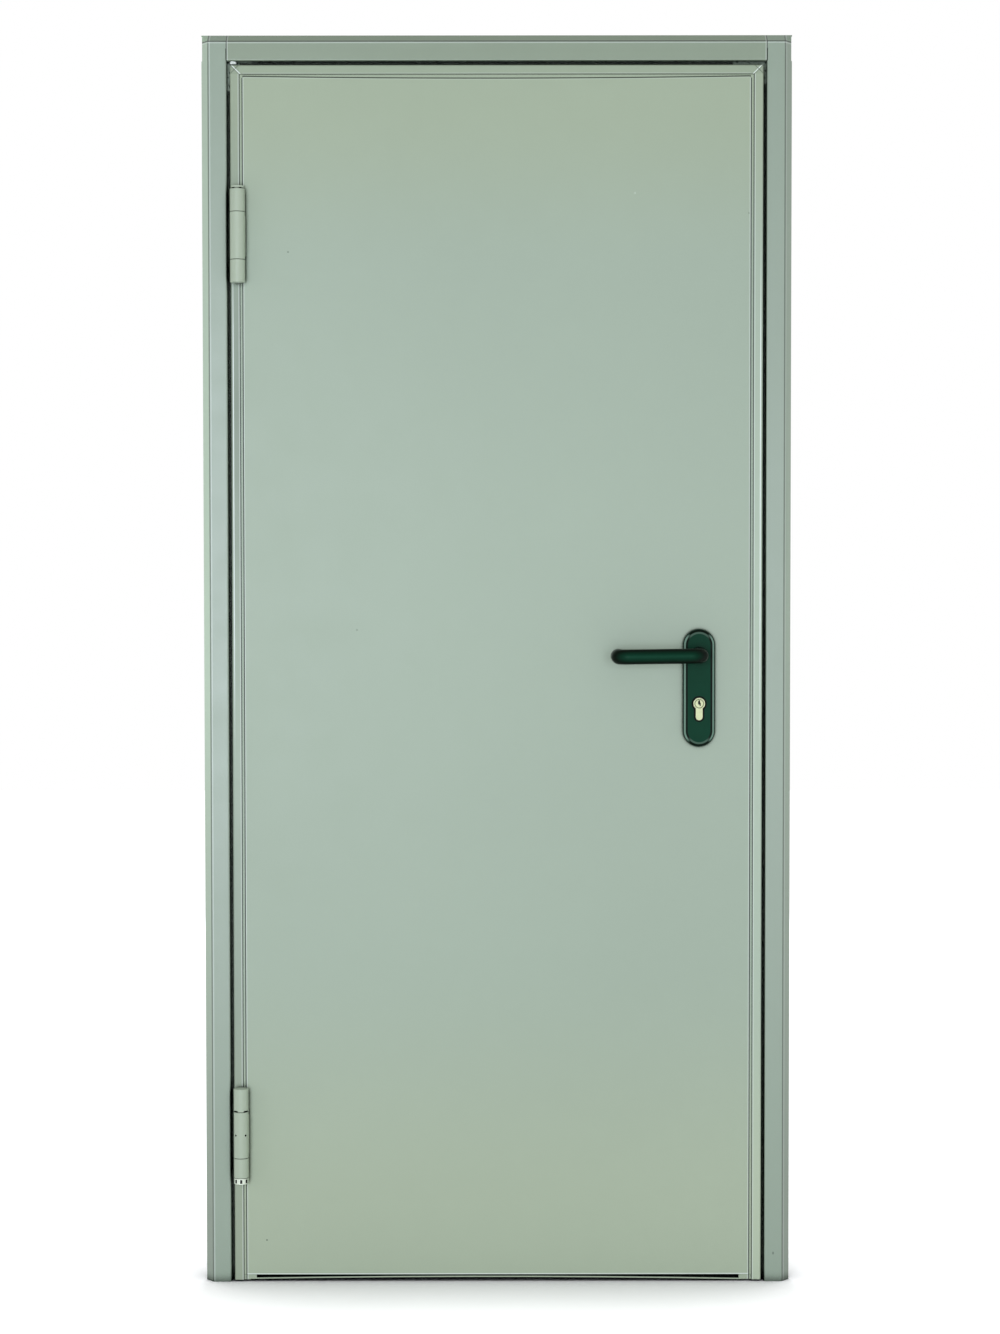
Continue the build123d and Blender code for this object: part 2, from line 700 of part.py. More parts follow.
def key_plug(mouth, inward, end_gap):
    """A key plug with its stepped keyway."""
    low, high = sorted((mouth - inward * PLUG_PROUD, mouth + inward * (PLUG_LENGTH - end_gap)))
    plug = through(at_lock(Circle(PLUG_RADIUS), cylinder_height), low, high)
    mouth_edges = plug.edges().filter_by(GeomType.CIRCLE).group_by(Axis.Y)[0 if inward > 0 else -1]
    plug = chamfer(mouth_edges, PLUG_RIM)
    half = KEYWAY_HEIGHT / 2
    upper = Pos(0, half / 2) * Rectangle(KEYWAY_WIDTH, half)
    lower = Pos(KEYWAY_JOG, -half / 2) * Rectangle(KEYWAY_WIDTH, half)
    keyway = upper + lower + Pos(KEYWAY_JOG / 2, 0) * Rectangle(KEYWAY_WIDTH + KEYWAY_JOG, KEYWAY_STEP)
    start = mouth - inward * (PLUG_PROUD + OVERCUT)
    cut = sorted((start, mouth + inward * KEYWAY_DEPTH))
    return plug - through(at_lock(keyway, cylinder_height + KEYWAY_LIFT), *cut)


def end_blocks():
    """Two small blocks at the ends of the slot under the front sheet."""
    depths = (sheet_back, sheet_back + END_BLOCK_DEPTH)
    spans = ((body_left + LEAF_SKIN, slot_left), (slot_right, body_right - LEAF_SKIN))
    blocks = []
    for span, height in zip(spans, END_BLOCK_HEIGHTS):
        blocks.append(block(span, depths, (bottom_wall - height, bottom_wall)))
    return Compound(blocks)


def bottom_strip():
    """The thin strip between the end blocks, bowed up in the middle."""
    left_low, right_low = [bottom_wall - height for height in END_BLOCK_HEIGHTS]
    crown = ((slot_left + slot_right) / 2, (left_low + right_low) / 2 + BOTTOM_STRIP_BOW)
    lower = ThreePointArc((slot_left, left_low), crown, (slot_right, right_low))
    upper = Pos(0, BOTTOM_STRIP_THICKNESS) * lower
    ends = [Line(lower @ 0, upper @ 0), Line(lower @ 1, upper @ 1)]
    return through(
        make_face([*lower.edges(), *upper.edges(), *ends]), sheet_back, sheet_back + BOTTOM_STRIP_DEPTH
    )


def dog_bolts():
    """Fixed security pins that stand in the hinge jamb while the door is shut."""
    pins = []
    for height in dog_bolt_heights:
        pin_span = (body_left - DOG_BOLT_REACH, body_left)
        base_span = (body_left - DOG_BOLT_FLANGE, body_left)
        pin = round_bar(pin_span, leaf_middle, height, DOG_BOLT_RADIUS)
        pins.append(pin + round_bar(base_span, leaf_middle, height, DOG_BOLT_FLANGE_RADIUS))
    return Compound(pins)


def dog_bolt_holes():
    """The pins' holes in the hinge jamb's reveal."""
    span = (reveal_hinge - 2 * FRAME_SHEET, reveal_hinge + FRAME_SHEET)
    radius = DOG_BOLT_RADIUS + DOG_BOLT_CLEARANCE
    return [round_bar(span, leaf_middle, height, radius) for height in dog_bolt_heights]


def strike_windows():
    """Openings in the lock jamb for the latch and the dead bolt."""
    windows = []
    for size, height in ((LATCH_SIZE, latch_height), (BOLT_SIZE, bolt_height)):
        width, tall = size
        windows.append(
            block(
                (reveal_lock - OVERCUT, reveal_lock + FRAME_SHEET + OVERCUT),
                (leaf_middle - width / 2 - STRIKE_CLEARANCE, leaf_middle + width / 2 + STRIKE_CLEARANCE),
                (height - tall / 2 - STRIKE_CLEARANCE, height + tall / 2 + STRIKE_CLEARANCE),
            )
        )
    return windows


def strike_box():
    """The folded box behind the strike openings, closed towards the masonry."""
    start = reveal_lock + FRAME_SHEET
    margin = STRIKE_CLEARANCE + STRIKE_BOX_MARGIN
    half_width = max(LATCH_SIZE[0], BOLT_SIZE[0]) / 2 + margin
    low = bolt_height - BOLT_SIZE[1] / 2 - margin
    high = latch_height + LATCH_SIZE[1] / 2 + margin
    outside = block(
        (start, start + STRIKE_BOX_DEPTH), (leaf_middle - half_width, leaf_middle + half_width), (low, high)
    )
    wall = FRAME_SHEET
    inside = block(
        (start - OVERCUT, start + STRIKE_BOX_DEPTH - wall),
        (leaf_middle - half_width + wall, leaf_middle + half_width - wall),
        (low + wall, high - wall),
    )
    return outside - inside


def bulb(width):
    """The gasket's section on the step: flat foot and a round nose towards the leaf."""
    tall = step_face - flange_back - GASKET_GAP
    section = Rectangle(width, tall)
    nose = section.vertices().sort_by(Axis.Y)[:2]
    return fillet(nose, GASKET_ROUND), tall


def lock_gasket():
    """The bulb gasket on the lock jamb's step."""
    section, tall = bulb(GASKET_WIDTH)
    middle = reveal_lock + GASKET_FROM_REVEAL + GASKET_WIDTH / 2
    return upright(Pos(middle, step_face - tall / 2) * section, leaf_bottom, gasket_top)


def header_gasket():
    """The bulb gasket on the header's step; it starts clear of the turning hinge edge."""
    section, tall = bulb(GASKET_WIDTH)
    start = hinge_x + math.hypot(HINGE_INSET, flange_back - hinge_y) + GASKET_PAST_SWING
    end = reveal_lock + GASKET_FROM_REVEAL
    turned = Rot(0, 0, -90) * section
    height = gasket_top - GASKET_WIDTH / 2
    nose_first = Pos(step_face - tall / 2, height) * turned
    return crosswise(nose_first, start, end)


def hinge_gasket():
    """The fin gasket on the hinge jamb's reveal, which meets the side of the leaf."""
    back = leaf_back - FIN_FROM_BACK + FIN_WIDTH
    points = [
        (reveal_hinge, back - FIN_WIDTH),
        (reveal_hinge + FIN_BASE, back - FIN_WIDTH),
        (body_left - GASKET_GAP, back),
        (reveal_hinge, back),
    ]
    return upright(make_face(Polyline(*points, close=True)), leaf_bottom, reveal_top)


upper_levels = knuckle_levels(upper_hinge_top, UPPER_KNUCKLES)
lower_levels = knuckle_levels(LOWER_HINGE_TOP, LOWER_KNUCKLES)
ring_top = lower_levels[2][0] - KNUCKLE_GAP
stop_low = lower_levels[0][0]
stop_span = (stop_low - OVERCUT, stop_low + STOP_HEIGHT)
stop_notches = rim_notches(*stop_span, STOP_NOTCHES, STOP_NOTCH, STOP_FIRST_NOTCH)

leaf_notches = [*strap_notches(upper_levels), *strap_notches(lower_levels)]
leaf_slots = [leaf_slot(upper_levels[1]), leaf_slot(lower_levels[1])]
skin_passages = lock_passages(front - OVERCUT, leaf_back + OVERCUT)
latch = bolt_block(LATCH_SIZE, latch_height)
dead_bolt = bolt_block(BOLT_SIZE, bolt_height)
forend = forend_bed(FOREND_THICKNESS)
case = lock_case()

hinge_jamb = jamb(corner_left, reveal_hinge, -1)
hinge_jamb = hinge_jamb - step_slots(upper_levels) - step_slots(lower_levels)
hinge_jamb = hinge_jamb - dog_bolt_holes() - screw_holes(reveal_hinge)
lock_jamb = jamb(corner_right, reveal_lock, 1) - strike_windows() - screw_holes(reveal_lock)
head = header() - hinge_jamb - lock_jamb

face_depth = (front, wall_face + FRAME_SHEET)
hinge_face = block((-span_limit, corner_left - bend_size), face_depth, (0, frame_top))
lock_face = block((corner_right + bend_size, span_limit), face_depth, (0, frame_top))
head_face = block((-span_limit, span_limit), face_depth, (corner_top + bend_size, frame_top))

# the jambs' reveals are divided between the wall screws, and round the strike openings
reveal_depths = (wall_face + BEND_RADIUS, frame_back - bend_size)
low_break, high_break = [(low + high) / 2 for low, high in zip(sleeve_heights, sleeve_heights[1:])]
screw_spans = ((0, low_break), (low_break, high_break), (high_break, frame_top))
hinge_zones = [frame_zone(reveal_depths, span) for span in screw_spans]
strike_low = bolt_height - BOLT_SIZE[1] / 2 - STRIKE_CLEARANCE
strike_high = latch_height + LATCH_SIZE[1] / 2 + STRIKE_CLEARANCE
strike_half = max(LATCH_SIZE[0], BOLT_SIZE[0]) / 2 + STRIKE_CLEARANCE
strike_sides = (reveal_depths[0], leaf_middle - strike_half, leaf_middle + strike_half, reveal_depths[1])
lock_spans = ((0, low_break), (low_break, strike_low), (strike_high, high_break), (high_break, frame_top))
lock_zones = [frame_zone(reveal_depths, span) for span in lock_spans]
for depths in zip(strike_sides, strike_sides[1:]):
    lock_zones.append(frame_zone(depths, (strike_low, strike_high)))

core = block(
    (body_left + LEAF_SKIN, body_right - LEAF_SKIN),
    (sheet_back, leaf_back - LEAF_SKIN),
    (bottom_wall + LEAF_SKIN, body_top - LEAF_SKIN),
)
core = core - skin_passages - case - forend - latch - dead_bolt

cylinder_front = front - PLATE_THICKNESS - CYLINDER_PROUD
cylinder_back = leaf_back + PLATE_THICKNESS + CYLINDER_PROUD
cylinder = through(at_lock(euro_profile(0), cylinder_height), cylinder_front, cylinder_back)
cylinder = cylinder - plug_bore(cylinder_front, 1) - plug_bore(cylinder_back, -1)

case = case - latch - dead_bolt
case = case - through(at_lock(Circle(SPINDLE_HOLE_RADIUS), SPINDLE_HEIGHT), front, leaf_back)
case = case - through(at_lock(euro_profile(0), cylinder_height), front, leaf_back)

spindle_length = LEAF_DEPTH + 2 * SOCKET_DEPTH
spindle = lever_place(leaf_middle) * Box(SPINDLE_SIDE, spindle_length, SPINDLE_SIDE)

nodes = {
    "hinge_jamb": in_legs(hinge_jamb, hinge_face, hinge_zones),
    "lock_jamb": in_legs(lock_jamb, lock_face, lock_zones),
    "header": in_legs(head, head_face, [frame_zone(reveal_depths, (0, frame_top))]),
    "hinge_jamb_foot": foot(0, 1) - hinge_jamb,
    "lock_jamb_foot": foot(lock_foot_middle, -1) - lock_jamb,
    "hinge_side_sleeves": sleeves(-foot_half, foot_half),
    "lock_side_sleeves": sleeves(lock_foot_middle - foot_half, lock_foot_middle + foot_half),
    "strike_box": strike_box(),
    "hinge_jamb_gasket": hinge_gasket(),
    "lock_jamb_gasket": lock_gasket(),
    "header_gasket": header_gasket(),
    "upper_hinge_frame_knuckles": frame_knuckles(upper_levels),
    "lower_hinge_frame_knuckles": frame_knuckles(lower_levels) - stop_notches,
    "upper_hinge_pin": hinge_pin(upper_levels[2][0], upper_hinge_top),
    "lower_hinge_pin": hinge_pin(ring_top - RING_HEIGHT, LOWER_HINGE_TOP),
    "upper_hinge_cap": hinge_cap(upper_hinge_top),
    "spring_ring": spring_ring(ring_top),
    "leaf_front_sheet": leaf_front_sheet([*leaf_notches, *leaf_slots, *skin_passages]),
    "leaf_tray": flange_and_pan(leaf_tray([*leaf_notches, *leaf_slots, *skin_passages, forend])),
    "leaf_core": core,
    "bottom_end_blocks": end_blocks(),
    "bottom_strip": bottom_strip(),
    "upper_hinge_leaf_knuckle": leaf_knuckle(upper_levels[1]),
    "lower_hinge_leaf_knuckle": leaf_knuckle(lower_levels[1]) - tension_holes(lower_levels[1]),
    "dog_bolts": dog_bolts(),
    "lock_case": case,
    "lock_front_plate": forend - latch - dead_bolt,
    "latch_bolt": latch,
    "dead_bolt": dead_bolt,
    "outer_backplate": backplate(front, front - PLATE_THICKNESS),
    "inner_backplate": backplate(leaf_back, leaf_back + PLATE_THICKNESS),
    "lock_cylinder": cylinder,
    "inner_key_plug": key_plug(cylinder_back, -1, 0),
    "outer_key_plug": key_plug(cylinder_front, 1, PLUG_END_GAP),
    "outer_lever": lever_place(front) * lever(),
    "inner_lever": lever_place(leaf_back) * mirror(lever(), about=Plane.XZ),
    "spindle": spindle,
}

os.makedirs("parts", exist_ok=True)
for name, shape in nodes.items():
    export_step(shape, f"parts/{name}.step")
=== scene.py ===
# %% [markdown]
# # Dressing a steel security door
# The door is a painted steel leaf in a folded steel frame, with a dark green lever set and two hinges.
# Its solids come packed from the CAD source, in metres, in the places that the model file gives them.
# They are loaded first and never moved: this lesson gives them finishes and adds the small pieces.

# %% Load the imported door
import json
import math
import bmesh
import bpy
from mathutils import Matrix, Vector, noise


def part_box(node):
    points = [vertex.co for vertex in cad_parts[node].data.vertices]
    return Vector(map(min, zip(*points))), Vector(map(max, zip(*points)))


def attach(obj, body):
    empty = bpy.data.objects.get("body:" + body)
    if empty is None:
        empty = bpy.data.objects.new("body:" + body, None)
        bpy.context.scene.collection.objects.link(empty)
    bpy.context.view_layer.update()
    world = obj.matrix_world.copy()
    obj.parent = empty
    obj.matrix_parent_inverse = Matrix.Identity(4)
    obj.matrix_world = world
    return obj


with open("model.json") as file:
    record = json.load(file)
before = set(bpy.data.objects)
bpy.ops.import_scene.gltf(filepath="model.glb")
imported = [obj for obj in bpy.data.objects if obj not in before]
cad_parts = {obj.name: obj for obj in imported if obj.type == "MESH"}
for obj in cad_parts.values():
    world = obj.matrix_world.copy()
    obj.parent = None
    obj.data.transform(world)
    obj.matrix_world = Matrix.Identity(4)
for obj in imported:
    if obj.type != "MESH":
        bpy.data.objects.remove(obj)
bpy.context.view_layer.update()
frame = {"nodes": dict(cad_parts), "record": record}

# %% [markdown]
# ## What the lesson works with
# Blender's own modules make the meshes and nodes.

nodes = frame["nodes"]
MM = 0.001

# %% [markdown]
# ## The camera
# A door is photographed from straight in front, from about chest height, with the lens turned down a
# little. Four metres away the two jambs stay almost parallel. The camera is made first, because each
# later step is judged through it. The sensor's long side is set against the picture's height.

# %% Camera
CAMERA_PLACE = Vector((0.3971, -4.0445, 1.0592))
PITCH_DOWN = 2.02
ROLL = -0.05
camera_data = bpy.data.cameras.new("door_camera")
camera_data.sensor_width = 36.0
camera_data.lens = 72.92
camera = bpy.data.objects.new("door_camera", camera_data)
bpy.context.scene.collection.objects.link(camera)
camera.matrix_world = (
    Matrix.Translation(CAMERA_PLACE)
    @ Matrix.Rotation(math.radians(90.0 - PITCH_DOWN), 4, "X")
    @ Matrix.Rotation(math.radians(ROLL), 4, "Z")
)
bpy.context.scene.camera = camera
print("camera height", round(camera.location.z, 3))

# %% [markdown]
# ## Colours
# Paint makers name colours by the numbers that a screen shows, from 0 to 255, but light adds up on a
# straight scale. One helper turns the first kind of number into the second.


# %% Screen colours to straight ones
def screen(red, green, blue):
    """A colour given as screen values from 0 to 255, on Blender's straight scale."""
    straight_values = []
    for value in (red, green, blue):
        share = value / 255.0
        straight_values.append(share / 12.92 if share <= 0.04045 else ((share + 0.055) / 1.055) ** 2.4)
    return (*straight_values, 1.0)


print("mid grey-green", [round(v, 3) for v in screen(166, 182, 171)])

# %% [markdown]
# ## Wiring nodes by hand
# Every finish here is a small network of nodes. One helper adds a node and sets its values, and short
# ones on top of it do the sums that come back again and again.


# %% Node helpers
def fill(tree, node, values):
    """Gives a node's inputs their values, which are numbers or the outputs of other nodes."""
    for key, value in (values or {}).items():
        if isinstance(value, bpy.types.NodeSocket):
            tree.links.new(value, node.inputs[key])
        else:
            node.inputs[key].default_value = value


def add(tree, kind, values=None, **settings):
    """Adds a node; settings are its attributes and values its input sockets."""
    made = tree.nodes.new("ShaderNode" + kind)
    for key, value in settings.items():
        setattr(made, key, value)
    fill(tree, made, values)
    return made


def maths(tree, operation, first, second=0.0, clamp=False):
    """One sum on two values; returns its result."""
    return add(tree, "Math", {0: first, 1: second}, operation=operation, use_clamp=clamp).outputs[0]


def product(tree, first, *others):
    """Values multiplied with each other."""
    for other in others:
        first = add(tree, "Math", {0: first, 1: other}, operation="MULTIPLY").outputs[0]
    return first


def rest_of(tree, share, clamp=False):
    """What a share leaves of one."""
    return maths(tree, "SUBTRACT", 1.0, share, clamp)


def times(tree, first, second):
    """Two colours or vectors multiplied part by part."""
    return add(tree, "VectorMath", {0: first, 1: second}, operation="MULTIPLY").outputs[0]


def blend(tree, share, below, above):
    """Mixes two colours by a share; returns the new colour."""
    return add(tree, "Mix", {0: share, 6: below, 7: above}, data_type="RGBA").outputs[2]


def band(tree, value, low, high):
    """Nought below low and one above high, with a soft step between; returns the mask."""
    made = add(tree, "MapRange", {0: value, 1: low, 2: high}, interpolation_type="SMOOTHSTEP")
    return made.outputs[0]


def spot(tree):
    """The place on the object, in metres, that moves with the piece."""
    return add(tree, "TexCoord").outputs["Object"]


def mottle(tree, where, scale, detail=2.0):
    """Noise from nought to one, with about as many patches to the metre as its scale."""
    return add(tree, "TexNoise", {"Vector": where, "Scale": scale, "Detail": detail}).outputs["Fac"]


print("Blender", bpy.app.version_string)

# %% [markdown]
# ## Groups
# An effect that several finishes share is made once, as a group with named sockets, and then placed in
# each material with its own values, as a painter uses one spray gun with several paints.


# %% Group helpers
def group(name, inputs, outputs):
    """A new group; returns its tree, what it takes and what it gives. Inputs also have a first value."""
    tree = bpy.data.node_groups.new(name, "ShaderNodeTree")
    for socket_name, kind, value in inputs:
        socket = tree.interface.new_socket(socket_name, in_out="INPUT", socket_type="NodeSocket" + kind)
        socket.default_value = value
    for socket_name, kind in outputs:
        tree.interface.new_socket(socket_name, in_out="OUTPUT", socket_type="NodeSocket" + kind)
    return tree, tree.nodes.new("NodeGroupInput").outputs, tree.nodes.new("NodeGroupOutput").inputs


def place(tree, group_tree, values=None):
    """Places a group in a material; returns its outputs."""
    made = tree.nodes.new("ShaderNodeGroup")
    made.node_tree = group_tree
    fill(tree, made, values)
    return made.outputs


print("groups so far:", len(bpy.data.node_groups))

# %% [markdown]
# ## What sprayed paint does
# Stoved paint on sheet steel is never one flat tone. It clouds a little from one hand's width to the
# next, and dries with a fine ripple that painters call orange peel. The clouds change the colour, the
# ripple only the height. Noise in the object's own metres keeps the scale true.

# %% Group: sprayed paint
CLOUDS, BLOTCHES, PIGMENT = 2.3, 19.0, 900.0
RIPPLE, SWELL = 330.0, 60.0
BLOTCH_SHARE, FLECK_SHARE, SWELL_SHARE, DULLING = 0.35, 0.05, 0.8, 0.12
sprayed, takes, gives = group(
    "sprayed_paint",
    [("Colour", "Color", (0.4, 0.45, 0.4, 1)), ("Clouding", "Float", 0.04), ("Peel", "Float", 1.0)],
    [("Colour", "Color"), ("Height", "Float"), ("Roughness shift", "Float")],
)
here = spot(sprayed)
clouds = mottle(sprayed, here, CLOUDS, 1.0)
blotches = mottle(sprayed, here, BLOTCHES)
pigment = mottle(sprayed, here, PIGMENT, 0.0)
tone = maths(sprayed, "ADD", clouds, product(sprayed, blotches, BLOTCH_SHARE))
tone = maths(sprayed, "SUBTRACT", tone, (1.0 + BLOTCH_SHARE) / 2)
tone = product(sprayed, tone, takes["Clouding"])
fleck = product(sprayed, maths(sprayed, "SUBTRACT", pigment, 0.5), FLECK_SHARE)
tone = maths(sprayed, "ADD", maths(sprayed, "ADD", tone, fleck), 1.0)
sprayed.links.new(times(sprayed, takes["Colour"], tone), gives["Colour"])
ripple = mottle(sprayed, here, RIPPLE, 1.0)
swell = mottle(sprayed, here, SWELL, 0.0)
height = maths(sprayed, "ADD", ripple, product(sprayed, swell, SWELL_SHARE))
sprayed.links.new(product(sprayed, height, takes["Peel"]), gives["Height"])
dulling = product(sprayed, maths(sprayed, "SUBTRACT", blotches, 0.5), DULLING)
sprayed.links.new(dulling, gives["Roughness shift"])
print("sprayed paint has", len(sprayed.nodes), "nodes")

# %% [markdown]
# ## Painted shade where light can't reach
# Folds, grooves and the gap round a door are painted dark, as painted shade. How closed-in a place is can be
# measured while rendering: the ambient occlusion node looks round each point for near surfaces. A short look
# finds the corner of a groove, a longer one the depth of a gap. Painting it by hand would not follow the
# shapes.

# %% Group: painted shade in crevices
CORNER_LOOKS, CORNER_STEP = 2, (0.08, 0.6)
GAP_LOOKS, GAP_STEP = 5, (0.3, 0.52)
crevice_shade, takes, gives = group(
    "painted_crevice_shade",
    [
        ("Colour", "Color", (0.4, 0.45, 0.4, 1)),
        ("Shade colour", "Color", (0.0012, 0.0022, 0.0012, 1)),
        ("Corner reach", "Float", 0.003),
        ("Corner share", "Float", 0.5),
        ("Gap reach", "Float", 0.02),
        ("Gap share", "Float", 0.95),
    ],
    [("Colour", "Color"), ("Mask", "Float")],
)


def closed_in(reach, looks, step, share):
    """A mask for places with surfaces near them; more looks round the point make it less grainy."""
    open_share = add(crevice_shade, "AmbientOcclusion", {"Distance": reach}, samples=looks).outputs["AO"]
    return product(crevice_shade, band(crevice_shade, rest_of(crevice_shade, open_share), *step), share)


corner_mask = closed_in(takes["Corner reach"], CORNER_LOOKS, CORNER_STEP, takes["Corner share"])
gap_mask = closed_in(takes["Gap reach"], GAP_LOOKS, GAP_STEP, takes["Gap share"])
mask = maths(crevice_shade, "MAXIMUM", corner_mask, gap_mask)
crevice_shade.links.new(blend(crevice_shade, mask, takes["Colour"], takes["Shade colour"]), gives["Colour"])
crevice_shade.links.new(mask, gives["Mask"])
print("grime has", len(crevice_shade.nodes), "nodes")

# %% [markdown]
# ## Lines along folds and joints
# Where two sheets meet, or where a sheet is folded sharply, the eye sees a thin dark line with a bright
# one beside it. Both are painted: the dark one is painted shade along the fold or joint, the bright one a
# painted highlight. The group draws both as bands across one number and gives a mask for each.

# %% Group: painted shade and highlight of a fold line
SOFT_EDGE = 1.6
BESIDE = 2.4
fold, takes, gives = group(
    "fold_shade_and_highlight",
    [("Across", "Float", 0.0), ("Centre", "Float", 0.0),
     ("Half width", "Float", 0.0007), ("Bright side", "Float", 1.0)],
    [("Dark", "Float"), ("Bright", "Float")],
)
off = maths(fold, "SUBTRACT", takes["Across"], takes["Centre"])
width = takes["Half width"]
soft = product(fold, width, SOFT_EDGE)


def stripe(distance):
    """One within the half width and nought beyond the soft edge."""
    return rest_of(fold, band(fold, maths(fold, "ABSOLUTE", distance), width, soft), clamp=True)


shade_line = stripe(off)
shift = product(fold, width, BESIDE, takes["Bright side"])
highlight_line = stripe(maths(fold, "SUBTRACT", off, shift))
fold.links.new(shade_line, gives["Dark"])
only_highlight = product(fold, highlight_line, rest_of(fold, shade_line))
fold.links.new(only_highlight, gives["Bright"])
print("fold line has", len(fold.nodes), "nodes")

# %% [markdown]
# ## Small knocks
# A door that has been carried and hung shows a few specks. Each is a tiny round mask at a named place,
# roughened by noise so that its rim isn't a compass circle. They are few, so each one is listed.

# %% Group: a speck
RAGGED, RAGGED_REACH = 1400.0, 0.0008
speck, takes, gives = group(
    "paint_speck",
    [("Place", "Vector", (0, 0, 0)), ("Stretch", "Vector", (1, 1, 1)), ("Radius", "Float", 0.001)],
    [("Mask", "Float")],
)
from_place = add(speck, "VectorMath", {0: spot(speck), 1: takes["Place"]}, operation="SUBTRACT").outputs[0]
from_place = times(speck, from_place, takes["Stretch"])
distance = add(speck, "VectorMath", {0: from_place}, operation="LENGTH").outputs["Value"]
ragged = maths(speck, "SUBTRACT", mottle(speck, spot(speck), RAGGED), 0.5)
distance = maths(speck, "ADD", distance, product(speck, ragged, RAGGED_REACH))
outside = band(speck, distance, takes["Radius"], product(speck, takes["Radius"], 1.5))
speck.links.new(rest_of(speck, outside), gives["Mask"])
print("speck has", len(speck.nodes), "nodes")

# %% [markdown]
# ## Pale edges
# Sharp edges are painted paler: on the hinges and the plastic as painted highlights, on the cylinder as
# wear from keys. The bevel node rounds the normals for a moment, and where they differ from the true ones
# there is an edge.

# %% Group: pale edges
PATCHES = 160.0
pale_edge, takes, gives = group(
    "pale_edges",
    [("Reach", "Float", 0.0008), ("Amount", "Float", 0.6)],
    [("Mask", "Float")],
)
rounded = add(pale_edge, "Bevel", {"Radius": takes["Reach"]}, samples=2).outputs["Normal"]
true_normal = add(pale_edge, "NewGeometry").outputs["Normal"]
agree = add(pale_edge, "VectorMath", {0: rounded, 1: true_normal}, operation="DOT_PRODUCT").outputs["Value"]
edge = band(pale_edge, rest_of(pale_edge, agree), 0.02, 0.2)
edge = product(pale_edge, edge, band(pale_edge, mottle(pale_edge, spot(pale_edge), PATCHES, 3.0), 0.35, 0.6))
pale_edge.links.new(product(pale_edge, edge, takes["Amount"]), gives["Mask"])
print("worn edge has", len(pale_edge.nodes), "nodes")

# %% [markdown]
# ## One shader for each finish
# Every material ends in one Principled shader, and all before it is pattern. A finish has a colour, a
# roughness and a relief, so one helper makes the shader and another links the three.


# %% Shader helpers
def new_finish(name):
    """A new material; returns it with its emptied tree and its one Principled shader."""
    material = bpy.data.materials.new(name)
    material.use_nodes = True
    tree = material.node_tree
    tree.nodes.clear()
    principled = tree.nodes.new("ShaderNodeBsdfPrincipled")
    output = tree.nodes.new("ShaderNodeOutputMaterial")
    tree.links.new(principled.outputs["BSDF"], output.inputs["Surface"])
    return material, tree, principled


def cover(tree, principled, colour, roughness, relief, strength, depth):
    """Links a finish's colour, roughness and relief to its shader; the depth is in metres."""
    tree.links.new(colour, principled.inputs["Base Color"])
    tree.links.new(roughness, principled.inputs["Roughness"])
    bump = add(tree, "Bump", {"Height": relief, "Strength": strength, "Distance": depth})
    tree.links.new(bump.outputs[0], principled.inputs["Normal"])


print("groups so far:", len(bpy.data.node_groups))

# %% [markdown]
# ## A stretch of the sheet
# Many marks belong to one stretch of a sheet only. Limits cut such a stretch out: each names an axis, its
# low and its high end and, where that shows, how softly it ends. Several limits make a box. A hard end is
# a single comparison, which renders faster than a soft step.

# %% Limits
ANYWHERE = []
FAR_FRONT, FAR_LEFT, FAR_DOWN = -1.0, -1.0, -1.0
FAR_RIGHT, FAR_UP = 2.0, 3.0


def inside(tree, axes, limits):
    """A mask for the space between limits."""
    stretch = 1.0
    for axis, low, high, *soft_end in limits:
        if soft_end:
            within = rest_of(tree, band(tree, axes[axis], high, high + soft_end[0]))
            within = product(tree, within, band(tree, axes[axis], low - soft_end[0], low))
        else:
            middle, half = (low + high) / 2, (high - low) / 2
            within = add(tree, "Math", {0: axes[axis], 1: middle, 2: half}, operation="COMPARE").outputs[0]
        stretch = product(tree, stretch, within)
    return stretch


print("limits reach up to", FAR_UP, "metres")

# %% [markdown]
# ## The courses of lines
# A fold line needs one number that grows across it. For an upright or a level fold that is a coordinate.
# Left and right folds mirror each other, so one sum draws both, and another both mitres of the hem. The
# raised field's upper edge hangs down a little in its middle.


# %% Courses
def straight(axis):
    """A line that keeps one coordinate."""
    return lambda tree, axes: axes[axis]


def twin(middle):
    """Two upright lines, as far to the left of the middle as to the right."""
    return lambda tree, axes: maths(tree, "ABSOLUTE", maths(tree, "SUBTRACT", axes["X"], middle))


def mitred(middle):
    """Two lines at 45 degrees that run out from the middle and up."""
    return lambda tree, axes: maths(tree, "SUBTRACT", twin(middle)(tree, axes), axes["Z"])


def sagging(middle, half_length, sag):
    """A level line that hangs down a little in its middle."""
    def course(tree, axes):
        share = maths(tree, "DIVIDE", maths(tree, "SUBTRACT", axes["X"], middle), half_length)
        drop = rest_of(tree, product(tree, share, share))
        return maths(tree, "ADD", axes["Z"], product(tree, drop, sag))
    return course


print("a mitre runs at 45 degrees")

# %% [markdown]
# ## Painted light along the height
# Hems and lips are folded edges, never quite flat, so they catch more light at some heights than at
# others, and that light is painted into their colour. A colour ramp holds a few heights and a factor for
# each. It only runs from nought to one, so heights and factors are divided before it, and what it gives is
# multiplied again.

# %% Tone along the height
TALLEST = 2.0
STRONGEST = 4.0


def along_height(tree, height, stops):
    """A factor that changes with height; each stop is a height in metres and a factor."""
    ramp = add(tree, "ValToRGB", {0: maths(tree, "DIVIDE", height, TALLEST)})
    elements = ramp.color_ramp.elements
    elements.remove(elements[1])
    for number, (stop_height, factor) in enumerate(stops):
        element = elements.new(stop_height / TALLEST) if number else elements[0]
        element.position = stop_height / TALLEST
        element.color = (*[factor / STRONGEST] * 3, 1.0)
    return product(tree, ramp.outputs["Color"], STRONGEST)


print("tones reach up to", TALLEST, "metres")

